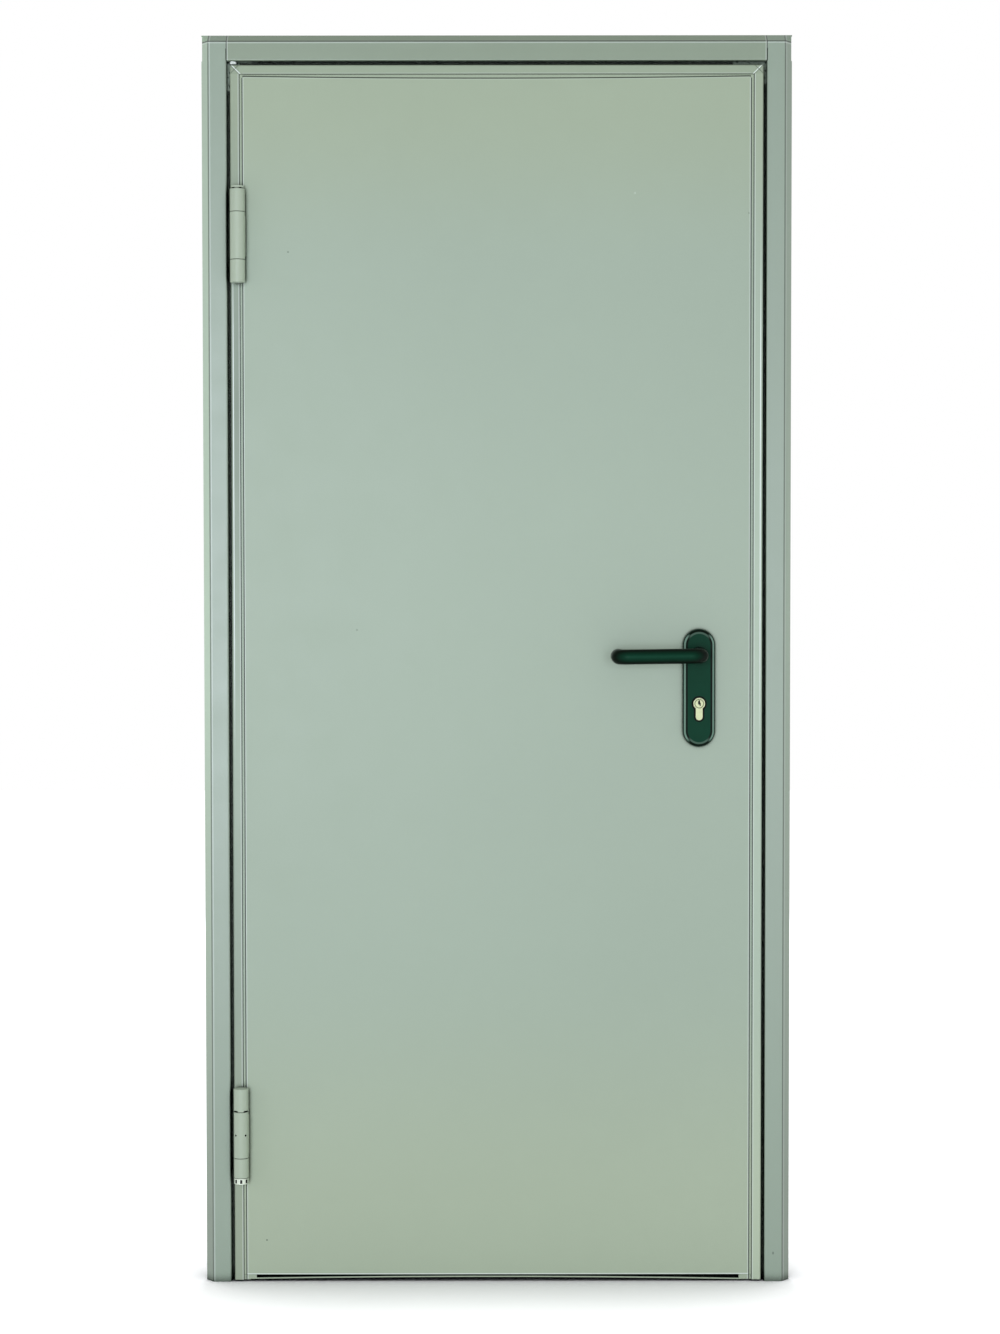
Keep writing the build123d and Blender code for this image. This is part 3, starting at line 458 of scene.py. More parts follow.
# %% [markdown]
# ## Marks on the paint
# Tones, lines and specks are laid on the paint one after the other, each over what is there already.
# Some tones and the lines are painted light and shade. In a few stretches the painted shade of the gaps
# is lifted in streaks, so that it is lighter there.

# %% Marks
FOLD_HIGHLIGHT = screen(228, 238, 230)
FOLD_SHADE = screen(30, 40, 33)
LIFT_STREAKS = 260.0


def with_tones(tree, axes, colour, tones):
    """Tints stretches, some as painted light and shade; each has its limits and one factor for each channel,
    or stops along the height.
    """
    for limits, tint in tones:
        if isinstance(tint, list):
            tint = along_height(tree, axes["Z"], tint)
        colour = blend(tree, inside(tree, axes, limits), colour, times(tree, colour, tint))
    return colour


def with_lines(tree, axes, colour, lines):
    """Draws painted shade and highlights; each has its course, centre, half width, bright side, shade and
    highlight share, limits.
    """
    for course, centre, half_width, bright_side, dark_share, bright_share, limits in lines:
        marks = place(tree, fold, {
            "Across": course(tree, axes), "Centre": centre,
            "Half width": half_width, "Bright side": bright_side})
        shown = inside(tree, axes, limits)
        dark = product(tree, marks["Dark"], shown, dark_share)
        bright = product(tree, marks["Bright"], shown, bright_share)
        colour = blend(tree, bright, colour, FOLD_HIGHLIGHT)
        colour = blend(tree, dark, colour, FOLD_SHADE)
    return colour


def with_specks(tree, colour, specks):
    """Sets specks; each has its place, stretch, radius, colour and strength."""
    for where, stretch, radius, mark_colour, strength in specks:
        mark = place(tree, speck, {"Place": where, "Stretch": stretch, "Radius": radius})["Mask"]
        colour = blend(tree, product(tree, mark, strength), colour, mark_colour)
    return colour


def shade_lifted(tree, axes, gap_share, shade_lifts):
    """Lowers the share of the gaps' painted shade in streaks within stretches; each has its limits and by how
    much.
    """
    if shade_lifts:
        streaks = band(tree, mottle(tree, spot(tree), LIFT_STREAKS, 1.0), 0.25, 0.5)
    for limits, share in shade_lifts:
        lift_here = product(tree, inside(tree, axes, limits), streaks)
        left_over = rest_of(tree, product(tree, lift_here, share))
        gap_share = product(tree, gap_share, left_over)
    return gap_share


print("a dust streak is about", round(1 / LIFT_STREAKS / MM, 1), "mm wide")

# %% [markdown]
# ## Painted steel
# Leaf, frame and hinges wear the same grey-green stoving paint, and it differs from part to part only in
# tone, in painted shade and in painted highlights. One function builds such a material from the groups. Paint
# is
# not metal to the light: it is a pigment under a satin skin, so the gloss comes from a middling roughness
# that the blotches shift a little. Metallic is used for the painted shade alone: a nearly black metal mirrors
# nothing, and so the gaps stay dark.

# %% Painted steel
EDGE_HIGHLIGHT_PAINT = screen(214, 224, 212)
SHADE_DULLING = 0.5


def painted_steel(name, tone_colour, clouding, crevice_shade_values, tones=(), lines=(), specks=(), shade_lifts=(),
                  edge_highlight=0.0, roughness=0.42, gloss=0.5):
    """Stoved paint on steel, with painted shade in its gaps, painted shade and highlights on its folds,
    specks and painted edge highlights.
    """
    material, tree, principled = new_finish(name)
    principled.inputs["Specular IOR Level"].default_value = gloss
    coat = place(tree, sprayed, {"Colour": tone_colour, "Clouding": clouding})
    axes = add(tree, "SeparateXYZ", {0: spot(tree)}).outputs
    colour = with_tones(tree, axes, coat["Colour"], tones)
    colour = with_lines(tree, axes, colour, lines)
    colour = with_specks(tree, colour, specks)
    # painted highlights on sharp edges
    if edge_highlight:
        colour = blend(tree, place(tree, pale_edge, {"Amount": edge_highlight})["Mask"], colour, EDGE_HIGHLIGHT_PAINT)
    # painted shade in corners and gaps, lifted in streaks in a few stretches
    gap_share = shade_lifted(tree, axes, crevice_shade_values["Gap share"], shade_lifts)
    crevice_shaded = place(tree, crevice_shade, {"Colour": colour, **crevice_shade_values, "Gap share": gap_share})
    tree.links.new(crevice_shaded["Mask"], principled.inputs["Metallic"])
    dull = maths(tree, "ADD", roughness, coat["Roughness shift"])
    dull = maths(tree, "ADD", dull, product(tree, crevice_shaded["Mask"], SHADE_DULLING), clamp=True)
    cover(tree, principled, crevice_shaded["Colour"], dull, coat["Height"], 0.16, 0.0004)
    return material


print("the paint has", len(sprayed.interface.items_tree), "sockets")

# %% [markdown]
# ## Where the folds run
# The marks have to sit on the real folds, so their places are worked out from the boxes of the solids.
# The leaf is a front sheet with a raised field, a groove round it, and the tray's hem folded over its
# edge. The frame has a flat face and a lip that is bent back to the wall.

# %% Places of the folds
FACE_TO_LIP = 11.0 * MM
CORNER_GAP = 5.0 * MM
TOP_GAP = 6.0 * MM
HEM = 13.3 * MM
GROOVE = 5.2 * MM
TOP_GROOVE = 3.7 * MM
leaf_low, leaf_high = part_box("leaf_tray")
left_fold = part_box("hinge_jamb")[0].x + FACE_TO_LIP
right_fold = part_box("lock_jamb")[1].x - FACE_TO_LIP
top_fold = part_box("header")[1].z - FACE_TO_LIP
opening_top = leaf_high.z + TOP_GAP
face_y = leaf_low.y
leaf_middle_x = (leaf_low.x + leaf_high.x) / 2
leaf_half = (leaf_high.x - leaf_low.x) / 2
hem_low = leaf_high.z - HEM
panel_top = hem_low - TOP_GROOVE
panel_half = leaf_half - HEM - GROOVE
print("folds at", round(left_fold, 4), round(right_fold, 4), round(top_fold, 4))

# %% [markdown]
# ## Under the leaf
# The raised field ends above a long slot, and a thin strip and two end blocks close the leaf below it.
# The slot is painted nearly black inside as painted shade, and on the strip in front of it the gaps'
# painted shade is lifted in streaks.

# %% Places at the foot
strip_low, strip_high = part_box("bottom_strip")
sheet_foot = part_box("leaf_front_sheet")[0].z
strip_front = max(strip_low.y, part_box("bottom_end_blocks")[0].y) + 0.4 * MM
lifted_foot = [("Z", FAR_DOWN, sheet_foot), ("Y", FAR_FRONT, strip_front)]
in_slot = [("Z", FAR_DOWN, sheet_foot + 8 * MM), ("Y", strip_front, face_y + 40 * MM)]
print("the slot is", round(sheet_foot - strip_high.z, 4), "high")

# %% [markdown]
# ## Paint of the leaf
# The leaf is painted paler at the foot and yellower at the top as painted light, and is darker on its top
# hem; its two hems have painted light of their own along the height. Painted shade and highlights follow
# the mitres, both edges of the groove and the field's lower edge, and painted highlights the front sheet's
# foot and the leaf's own edge at middle height, where the light is strongest. Of the specks only the
# plainest are set.

# %% Stretches of the leaf
THIN = 0.6 * MM
leaf_front = ("Y", FAR_FRONT, 0.0)
hem_corners = [("Z", hem_low, leaf_high.z), leaf_front]
by_panel = [("Z", FAR_DOWN, panel_top - 2 * MM), leaf_front]
by_hem = [("Z", FAR_DOWN, hem_low), leaf_front]
over_panel = [("X", leaf_middle_x - panel_half, leaf_middle_x + panel_half), leaf_front]
glow = [("Z", 1.0, 1.35, 0.25), leaf_front]
sides = twin(leaf_middle_x)
panel_edge = sagging(leaf_middle_x, panel_half, 3.0 * MM)
LEFT_HEM_LIGHT = [(0.4, 0.81), (0.8, 1.0), (1.3, 0.67), (1.8, 0.9)]
RIGHT_HEM_LIGHT = [(0.4, 1.16), (0.9, 1.23), (1.4, 1.13), (1.8, 0.96)]
print("the field is", round(2 * panel_half, 4), "wide")

# %% Leaf paint
DARK_MARK = screen(74, 88, 76)
PALE_MARK = screen(206, 216, 206)
leaf_paint = painted_steel(
    "leaf_paint",
    screen(162, 177, 158),
    0.07,
    {"Corner reach": 0.0022, "Corner share": 0.6, "Gap reach": 0.011, "Gap share": 1.0},
    tones=[
        # painted light: the foot is paler and the top yellower
        ([("Z", FAR_DOWN, 0.1, 0.4)], (1.1, 1.06, 0.99)),
        ([("Z", 1.75, FAR_UP, 0.25)], (1.02, 1.0, 0.92)),
        # painted light along the height of the two hems
        ([("X", FAR_LEFT, leaf_low.x + HEM), leaf_front], LEFT_HEM_LIGHT),
        ([("X", leaf_high.x - HEM, FAR_RIGHT), leaf_front], RIGHT_HEM_LIGHT),
        # the top hem is darker
        ([("Z", hem_low, FAR_UP), leaf_front], (0.9, 0.91, 0.91)),
        # painted shade: inside the slot the colour is nearly black
        (in_slot, (0.03, 0.04, 0.03)),
    ],
    lines=[
        # painted shade and highlights along the folds; the last two lines are painted highlights alone
        (mitred(leaf_middle_x), leaf_half - leaf_high.z, 0.8 * MM, -1.0, 0.3, 0.9, hem_corners),
        (sides, panel_half + GROOVE - 0.5 * MM, THIN, 1.0, 0.5, 0.4, by_hem),
        (sides, panel_half + 0.65 * MM, THIN, -1.0, 0.85, 0.5, by_panel),
        (straight("Z"), hem_low - 0.5 * MM, THIN, 1.0, 0.35, 0.15, over_panel),
        (panel_edge, panel_top + 0.5 * MM, 0.7 * MM, -1.0, 0.85, 0.15, over_panel),
        (sides, leaf_half - 1.9 * MM, THIN, -1.0, 0.0, 1.0, glow),
        (straight("Z"), sheet_foot - 0.6 * MM, THIN, 1.0, 0.0, 0.8, over_panel),
    ],
    specks=[
        ((0.0853, face_y, 1.5302), (1, 1, 1), 0.9 * MM, DARK_MARK, 0.8),
        ((0.1854, face_y, 0.9731), (1, 1, 1.4), 1.0 * MM, DARK_MARK, 0.7),
        ((0.0486, face_y, 0.0627), (1, 1, 1), 1.0 * MM, DARK_MARK, 0.8),
        ((0.5965, face_y, 1.6162), (1, 1, 1), 0.8 * MM, PALE_MARK, 0.8),
        ((0.7644, face_y, 1.5868), (1, 1, 1), 0.8 * MM, DARK_MARK, 0.6),
    ],
    shade_lifts=[(lifted_foot, 0.9)],
    gloss=0.35,
)
print("painted", leaf_paint.name)

# %% [markdown]
# ## Paint of the frame
# The frame is a shade darker and glossier than the leaf. Its header front is painted darker as painted
# shade, its lips have painted light along the height, and its top lip is painted darker. Painted shade
# and highlights follow the three bends to the lips and the two joints where the header is butted between
# the jambs. In the gap's upper corners and on the bend behind the header, the gap's painted shade is
# lifted in pale streaks.

# %% Stretches of the frame
above_opening = [("Z", opening_top, FAR_UP)]
header_front = [("X", leaf_low.x - CORNER_GAP, leaf_high.x + CORNER_GAP)] + above_opening
in_gap = ("Y", face_y + 3 * MM, face_y + 16 * MM)
left_gap = ("X", leaf_low.x - 8 * MM, leaf_low.x + 14 * MM)
right_gap = ("X", leaf_high.x - 2 * MM, leaf_high.x + 8 * MM)
top_right = ("X", leaf_high.x - 42 * MM, leaf_high.x + 1 * MM, 4 * MM)
by_dab = ("X", leaf_low.x, leaf_low.x + 30 * MM, 4 * MM)
on_ceiling = ("Z", opening_top - 0.7 * MM, opening_top + 0.7 * MM)
inner_bend = ("Y", face_y + 5 * MM, face_y + 10 * MM)
LEFT_LIP_LIGHT = [(0.1, 0.85), (0.9, 2.1), (1.4, 1.85), (1.8, 1.6)]
RIGHT_LIP_LIGHT = [(0.1, 0.76), (1.0, 1.33), (1.8, 1.0)]
print("the opening ends at", round(opening_top, 4))

# %% Frame paint
frame_paint = painted_steel(
    "frame_paint",
    screen(140, 156, 138),
    0.07,
    {"Corner reach": 0.0022, "Corner share": 0.3, "Gap reach": 0.022, "Gap share": 1.0},
    tones=[
        # painted shade: the header's front is darker
        (header_front, (0.87, 0.87, 0.8)),
        # painted light along the lips' height; the top lip is painted darker
        ([("X", FAR_LEFT, left_fold)], LEFT_LIP_LIGHT),
        ([("X", right_fold, FAR_RIGHT)], RIGHT_LIP_LIGHT),
        ([("Z", top_fold, FAR_UP)], (0.74, 0.82, 0.74)),
    ],
    lines=[
        # painted shade and highlights along the lip bends and the header joints
        (straight("X"), left_fold, 0.8 * MM, 1.0, 0.6, 0.3, ANYWHERE),
        (straight("X"), right_fold, 0.8 * MM, 1.0, 0.6, 0.2, ANYWHERE),
        (straight("Z"), top_fold, 0.8 * MM, -1.0, 0.75, 0.3, ANYWHERE),
        (sides, leaf_half + CORNER_GAP, THIN, -1.0, 0.85, 0.3, above_opening),
    ],
    specks=[((0.8039, face_y, 0.0425), (1, 1, 0.5), 0.9 * MM, DARK_MARK, 0.8)],
    shade_lifts=[
        ([("Z", 1.770, 1.806, 4 * MM), left_gap, in_gap], 0.7),
        ([("Z", 1.780, 1.806, 4 * MM), right_gap, in_gap], 0.4),
        ([("Z", 1.803, 1.812), top_right, in_gap], 0.35),
        ([on_ceiling, by_dab, in_gap], 0.5),
        ([on_ceiling, inner_bend], 0.75),
    ],
    roughness=0.38,
    gloss=0.75,
)
print("painted", frame_paint.name)

# %% [markdown]
# ## Paint of the hinges
# The knuckles turn against each other, and their sharp edges are painted paler as painted highlights. The
# paint is a little paler and smoother than the rest, and its painted shade sits only close to the joints.

# %% Hinge paint
hinge_paint = painted_steel(
    "hinge_paint",
    screen(171, 184, 162),
    0.1,
    {"Corner reach": 0.0018, "Corner share": 0.85, "Gap reach": 0.009, "Gap share": 1.0},
    edge_highlight=0.5,
    roughness=0.32,
    gloss=0.5,
)
print("painted", hinge_paint.name)

# %% [markdown]
# ## Inside a round-ended outline
# A lever plate has round ends, so its outline is every point at one distance from a short upright line.
# The same sum gives each point's distance in from the rim, and how much that point of the rim looks
# sideways. Lines can then follow a plate's bevel, a cylinder's seam or a keyway.

# %% Group: inside a round-ended outline
rim, takes, gives = group(
    "round_ended_rim",
    [("Middle", "Vector", (0, 0, 0)), ("Half straight", "Float", 0.06), ("Radius", "Float", 0.02)],
    [("Inset", "Float"), ("Sideways", "Float")],
)
from_middle = add(rim, "VectorMath", {0: spot(rim), 1: takes["Middle"]}, operation="SUBTRACT").outputs[0]
from_axis = add(rim, "SeparateXYZ", {0: from_middle}).outputs
beyond = maths(rim, "SUBTRACT", maths(rim, "ABSOLUTE", from_axis["Z"]), takes["Half straight"])
beyond = maths(rim, "MAXIMUM", beyond, 0.0)
across_squared = product(rim, from_axis["X"], from_axis["X"])
away = maths(rim, "SQRT", maths(rim, "ADD", across_squared, product(rim, beyond, beyond)))
rim.links.new(maths(rim, "SUBTRACT", takes["Radius"], away), gives["Inset"])
rim.links.new(maths(rim, "DIVIDE", maths(rim, "ABSOLUTE", from_axis["X"]), away), gives["Sideways"])
print("rim has", len(rim.nodes), "nodes")

# %% [markdown]
# ## Brushed metal
# Bolts, lock plate, feet and pins are plated steel, and rolling and grinding leave fine lines along them.
# Noise that is squeezed across and stretched along gives such lines, in shade and in relief.

# %% Group: brushed lines
brushed, takes, gives = group(
    "brushed_lines",
    [("Lines", "Vector", (900.0, 900.0, 14.0)), ("Contrast", "Float", 0.2)],
    [("Shade", "Float"), ("Height", "Float")],
)
strokes = mottle(brushed, times(brushed, spot(brushed), takes["Lines"]), 1.0, 4.0)
shade = product(brushed, maths(brushed, "SUBTRACT", strokes, 0.5), takes["Contrast"])
brushed.links.new(shade, gives["Shade"])
brushed.links.new(strokes, gives["Height"])
print("brushed lines has", len(brushed.nodes), "nodes")

# %% [markdown]
# ## Plated metals
# A plating is a metal under a thin dull skin, so it is Metallic in part and its colour tints what it
# reflects. Zinc grows in small crystals, the spangle, which a cell pattern gives. Seams are rings between
# two distances from a short upright line.

# %% Plated metals
SPANGLE, SPANGLE_SHARE, LEAST_LIT = 260.0, 0.08, 0.94
SEAM_SOFT = 0.2 * MM


def with_seams(tree, colour, seams):
    """Draws rings; each has its middle, half straight length, near and far distance and colour."""
    for middle, half_straight, near, far, seam_colour in seams:
        inset = place(tree, rim, {"Middle": middle, "Half straight": half_straight, "Radius": far})["Inset"]
        inner = rest_of(tree, band(tree, inset, far - near, far - near + SEAM_SOFT))
        ring_mark = product(tree, band(tree, inset, -0.1 * MM, SEAM_SOFT), inner)
        colour = blend(tree, ring_mark, colour, seam_colour)
    return colour


def plated_metal(name, tint, roughness, lines, contrast, crevice_shade_share, metal_share, wear_colour=None,
                 seams=()):
    """A bright metal with brushed lines, painted shade in its corners and, if asked, rubbed edges and seams.
    """
    material, tree, principled = new_finish(name)
    strokes_here = place(tree, brushed, {"Lines": lines, "Contrast": contrast})
    spangle = add(tree, "TexVoronoi", {"Vector": spot(tree), "Scale": SPANGLE}).outputs["Color"]
    spangle = add(tree, "SeparateColor", {0: spangle}).outputs[0]
    lit = maths(tree, "ADD", product(tree, spangle, SPANGLE_SHARE), LEAST_LIT)
    shaded = times(tree, tint[:3], maths(tree, "ADD", lit, strokes_here["Shade"]))
    if wear_colour:
        shaded = blend(tree, place(tree, pale_edge, {"Amount": 0.8})["Mask"], shaded, wear_colour)
    # painted shade in corners and gaps
    crevice_shaded = place(tree, crevice_shade, {
        "Colour": with_seams(tree, shaded, seams), "Corner reach": 0.0015, "Corner share": crevice_shade_share,
        "Gap reach": 0.01, "Gap share": crevice_shade_share})
    dull = maths(tree, "ADD", roughness, strokes_here["Shade"])
    dull = maths(tree, "ADD", dull, product(tree, crevice_shaded["Mask"], 0.4), clamp=True)
    principled.inputs["Metallic"].default_value = metal_share
    cover(tree, principled, crevice_shaded["Colour"], dull, strokes_here["Height"], 0.15, 0.0002)
    return material


zinc_steel = plated_metal(
    "zinc_steel", screen(202, 211, 196), 0.4, (900.0, 900.0, 25.0), 0.16, 0.97, 0.7)
print("plated", zinc_steel.name)

# %% [markdown]
# ## Nickel of the profile cylinder
# The cylinder is brass under dull nickel, so it is yellower than zinc and its edges are rubbed by keys.
# The round key plug turns in it and leaves a fine joint, and the keyway is a short upright slit, painted
# dark as painted shade.

# %% Cylinder nickel
cylinder_low, cylinder_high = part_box("lock_cylinder")
plug_low, plug_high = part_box("outer_key_plug")
plug_radius = (plug_high.x - plug_low.x) / 2
cylinder_x = (plug_low.x + plug_high.x) / 2
plug_z = (plug_low.z + plug_high.z) / 2
plug_seam = (
    (cylinder_x, 0.0, plug_z), 0.0, plug_radius - 0.9 * MM, plug_radius + 0.5 * MM, screen(140, 146, 108))
# painted shade in the keyway
keyway_shade = (
    (cylinder_x - 0.3 * MM, 0.0, plug_z + 1.6 * MM), 1.4 * MM, -1.0 * MM, 1.6 * MM, screen(16, 21, 14))
cylinder_nickel = plated_metal(
    "cylinder_nickel", screen(184, 189, 146), 0.42, (700.0, 60.0, 60.0), 0.12, 0.6, 0.3,
    screen(214, 218, 190), seams=[plug_seam, keyway_shade])
print("plug radius", round(plug_radius, 4), "at", round(cylinder_x, 4), round(plug_z, 4))

# %% [markdown]
# ## Moulded plastic of the lever set
# Plate and lever are steel-cored and skinned in dark green plastic. Moulded plastic has a fine even grain
# and shows polish where hands slide, so the grain goes into the relief and a slow noise into colour and
# roughness. Where the surface turns away from the camera, its colour is painted nearly black as painted
# shade, so the round grip is nearly black at both edges.

# %% Deep green
lever_green, tree, principled = new_finish("lever_green")
principled.inputs["Specular IOR Level"].default_value = 0.05
here = spot(tree)
grain = mottle(tree, here, 1500.0)
polish = mottle(tree, here, 42.0, 3.0)
deep = blend(tree, polish, screen(8, 57, 38), screen(12, 64, 45))
# painted shade where the surface turns away from the camera
turned_away = add(tree, "LayerWeight", {"Blend": 0.5}).outputs["Facing"]
painted_edge_shade = product(tree, maths(tree, "POWER", turned_away, 0.45), 1.45)
deep = blend(tree, maths(tree, "MINIMUM", painted_edge_shade, 0.97), deep, screen(0, 5, 1))
print("the green has", len(tree.nodes), "nodes so far")

# %% [markdown]
# ## Bevel of the plate
# The plate's bevel is painted pale at the sides and dark at the round ends, a painted highlight and
# painted shade, a thin line of painted shade follows it where it meets the face, and the rim itself is
# painted darker. These are rings at a distance in from the rim, drawn on the front plate only.

# %% Rings of the plate
plate_low, plate_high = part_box("outer_backplate")
plate_radius = (plate_high.x - plate_low.x) / 2
outline = place(tree, rim, {
    "Middle": (plate_low + plate_high) / 2,
    "Half straight": (plate_high.z - plate_low.z) / 2 - plate_radius,
    "Radius": plate_radius,
})
depth = add(tree, "SeparateXYZ", {0: here}).outputs["Y"]
on_plate = product(tree, band(tree, depth, plate_low.y - 1.0 * MM, plate_low.y - 0.5 * MM),
                 band(tree, outline["Inset"], -1.0 * MM, 0.0))
sideways = band(tree, outline["Sideways"], 0.6, 0.92)


def ring_between(low, high):
    """A mask for the part of the plate that lies between two distances in from its rim."""
    near = band(tree, outline["Inset"], low - SEAM_SOFT, low + SEAM_SOFT)
    far = band(tree, outline["Inset"], high - SEAM_SOFT, high + SEAM_SOFT)
    return product(tree, near, rest_of(tree, far), on_plate)


SHADE_BLACK = screen(1, 12, 4)
# painted highlight on the bevel's sides, painted shade at its ends, on the line and on the rim
bevel_highlight_and_shade = blend(tree, sideways, SHADE_BLACK, screen(118, 147, 131))
deep = blend(tree, ring_between(1.3 * MM, 3.8 * MM), deep, bevel_highlight_and_shade)
bevel_line_shade = blend(tree, sideways, screen(72, 96, 82), SHADE_BLACK)
deep = blend(tree, ring_between(3.9 * MM, 6.7 * MM), deep, bevel_line_shade)
deep = blend(tree, ring_between(-0.5 * MM, 1.2 * MM), deep, screen(24, 44, 33))
print("plate radius", round(plate_radius, 4))

# %% [markdown]
# ## Painted shade and highlights
# The cylinder stands out of a hole that is a little larger, so the plastic round it is painted black as
# shade. Its outline is a round head and a narrow tail, and the shade is drawn for both. Then the edges of
# lever and plate are painted paler as painted highlights, and painted shade keeps to their corners.

# %% Shade round the cylinder
TAIL_RADIUS = 5.0 * MM
SHADE_REACH = 2.8 * MM
head_radius = (cylinder_high.x - cylinder_low.x) / 2
head_z = cylinder_high.z - head_radius
# a ring of painted shade round the cylinder's head and tail
for foot_z, radius in ((head_z, head_radius), (cylinder_low.z + TAIL_RADIUS, TAIL_RADIUS)):
    ring_mark = place(tree, rim, {
        "Middle": (cylinder_x, 0.0, (head_z + foot_z) / 2), "Half straight": (head_z - foot_z) / 2,
        "Radius": radius + SHADE_REACH})
    shade_ring = band(tree, ring_mark["Inset"], -SEAM_SOFT, SEAM_SOFT)
    deep = blend(tree, product(tree, shade_ring, on_plate), deep, SHADE_BLACK)
print("head radius", round(head_radius, 4))

# %% Painted highlights and shade of the plastic
# painted highlights on the plastic's edges
pale_edge_highlight = place(tree, pale_edge, {"Reach": 0.0007, "Amount": 0.3})["Mask"]
deep = blend(tree, pale_edge_highlight, deep, screen(84, 122, 104))
crevice_shaded = place(tree, crevice_shade, {"Colour": deep, "Corner reach": 0.002, "Corner share": 0.9, "Gap share": 0.8})
dull = maths(tree, "ADD", 0.24, product(tree, polish, 0.16))
cover(tree, principled, crevice_shaded["Colour"], dull, grain, 0.12, 0.0002)
print("plastic has", len(tree.nodes), "nodes")

# %% [markdown]
# ## Rubber, mineral wool and sealant
# Three plain finishes need one pattern each, which gives their colour, roughness and relief. The gaskets
# are black cellular rubber: matt, with fine pores. The wool inside the leaf shows only through holes and
# cut edges, as tangled fibres, so a stretched noise is enough for it. Sealant is pale and crumbly.


# %% Plain finishes
def one_pattern(name, pattern, low_colour, high_colour, dull, dull_spread, strength, depth):
    """A finish made of one pattern, which runs from a low colour to a high one."""
    material, tree, principled = new_finish(name)
    height = pattern(tree)
    colour = blend(tree, height, low_colour, high_colour)
    roughness = maths(tree, "ADD", dull, product(tree, height, dull_spread))
    cover(tree, principled, colour, roughness, height, strength, depth)
    return material


def pores(tree):
    """The distance from the middle of each small cell."""
    return add(tree, "TexVoronoi", {"Vector": spot(tree), "Scale": 1100.0}).outputs["Distance"]


def fibres(tree):
    """Noise stretched into tangled threads."""
    along = times(tree, spot(tree), (300.0, 1200.0, 260.0))
    threads = {"Vector": along, "Scale": 1.0, "Detail": 6.0, "Roughness": 0.75}
    return add(tree, "TexNoise", threads).outputs["Fac"]


gasket_rubber = one_pattern(
    "gasket_rubber", pores, screen(22, 26, 24), screen(44, 49, 46), 0.66, 0.2, 0.3, 0.0003)
mineral_core = one_pattern(
    "mineral_core", fibres, screen(112, 104, 66), screen(206, 198, 150), 0.85, 0.1, 0.8, 0.001)
sealant = one_pattern(
    "corner_sealant", lambda tree: mottle(tree, spot(tree), 700.0, 3.0),
    screen(206, 216, 208), screen(246, 250, 244), 0.5, 0.2, 0.4, 0.0004)
print("made", gasket_rubber.name, mineral_core.name, sealant.name)

# %% [markdown]
# ## Giving each solid its finish
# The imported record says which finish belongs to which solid. Reading it there keeps the two models in
# step, so a solid that is added to the CAD source needs no edit here.

# %% Assign the finishes
finishes = dict(
    frame_paint=frame_paint, leaf_paint=leaf_paint, hinge_paint=hinge_paint, zinc_steel=zinc_steel,
    cylinder_nickel=cylinder_nickel, lever_green=lever_green, gasket_rubber=gasket_rubber,
    mineral_core=mineral_core)
for part in frame["record"]["subparts"]:
    for material_slot in nodes[part["node"]].material_slots:
        material_slot.material = finishes[part["material_slot"]]

# %% [markdown]
# ## Turned pieces
# A screw head is a turned piece: rings of points, one above the other, joined by faces. If the rings in
# the middle are six-sided instead of round, they make the socket for the key in the same mesh, and no
# cutting is needed. The piece is made upright and then laid along the way it is screwed in.


# %% Turning helpers
RING_POINTS = 36


def finished(name, mesh, material, body):
    """Turns a bmesh into an object that rides on its body and wears its finish."""
    data = bpy.data.meshes.new(name)
    mesh.to_mesh(data)
    mesh.free()
    data.materials.append(material)
    for face in data.polygons:
        face.use_smooth = len(face.vertices) == 4
    piece = bpy.data.objects.new(name, data)
    bpy.context.scene.collection.objects.link(piece)
    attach(piece, body)
    return piece


def ring_radius(angle, radius, flats):
    """Distance to the rim of a round ring, or of one with flat sides."""
    if not flats:
        return radius
    half = math.pi / flats
    return radius * math.cos(half) / math.cos((angle + half) % (2 * half) - half)


def turned(name, rings, centre, outward, material, body):
    """A turned piece; each ring is its radius and height in millimetres and its flat sides, if any."""
    mesh = bmesh.new()
    loops = []
    for radius, height_up, flats in rings:
        loop = []
        for step in range(RING_POINTS):
            angle = 2 * math.pi * step / RING_POINTS
            reach = ring_radius(angle, radius * MM, flats)
            loop.append(mesh.verts.new((reach * math.cos(angle), reach * math.sin(angle), height_up * MM)))
        loops.append(loop)
    for lower, upper in zip(loops, loops[1:]):
        for step in range(RING_POINTS):
            after = (step + 1) % RING_POINTS
            mesh.faces.new((lower[step], lower[after], upper[after], upper[step]))
    mesh.faces.new(list(reversed(loops[0])))
    mesh.faces.new(loops[-1])
    bmesh.ops.recalc_face_normals(mesh, faces=mesh.faces)
    turn = Vector(outward).to_track_quat("Z", "Y").to_matrix().to_4x4()
    mesh.transform(Matrix.Translation(centre) @ turn)
    return finished(name, mesh, material, body)


print("ring of", RING_POINTS, "points")

# %% [markdown]
# ## Screws of the lock and of the inner plate
# The lock's front plate is held by two countersunk screws, and the lever set is screwed through from the
# inside, so that nothing can be undone from the outside. Their places follow from the plates' boxes.

# %% Screws
COUNTERSUNK = [
    (4.2, -0.9, 0), (4.4, 0.02, 0), (3.9, 0.18, 0), (2.1, 0.22, 6), (1.9, -0.85, 6), (0.4, -1.0, 6)]
PAN_HEAD = [
    (3.9, -0.4, 0), (4.0, 1.0, 0), (3.4, 1.9, 0), (2.3, 2.2, 0), (1.9, 2.15, 6), (1.7, 0.7, 6), (0.3, 0.5, 6)]
front_low, front_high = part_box("lock_front_plate")
inner_low, inner_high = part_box("inner_backplate")
front_y = (front_low.y + front_high.y) / 2
inner_x = (inner_low.x + inner_high.x) / 2
screws = []
for place_name, height_up in (("high", front_high.z - 9 * MM), ("low", front_low.z + 9 * MM)):
    screws.append(turned(
        f"lock_plate_screw_{place_name}", COUNTERSUNK, Vector((front_high.x, front_y, height_up)),
        (1, 0, 0), zinc_steel, "leaf"))
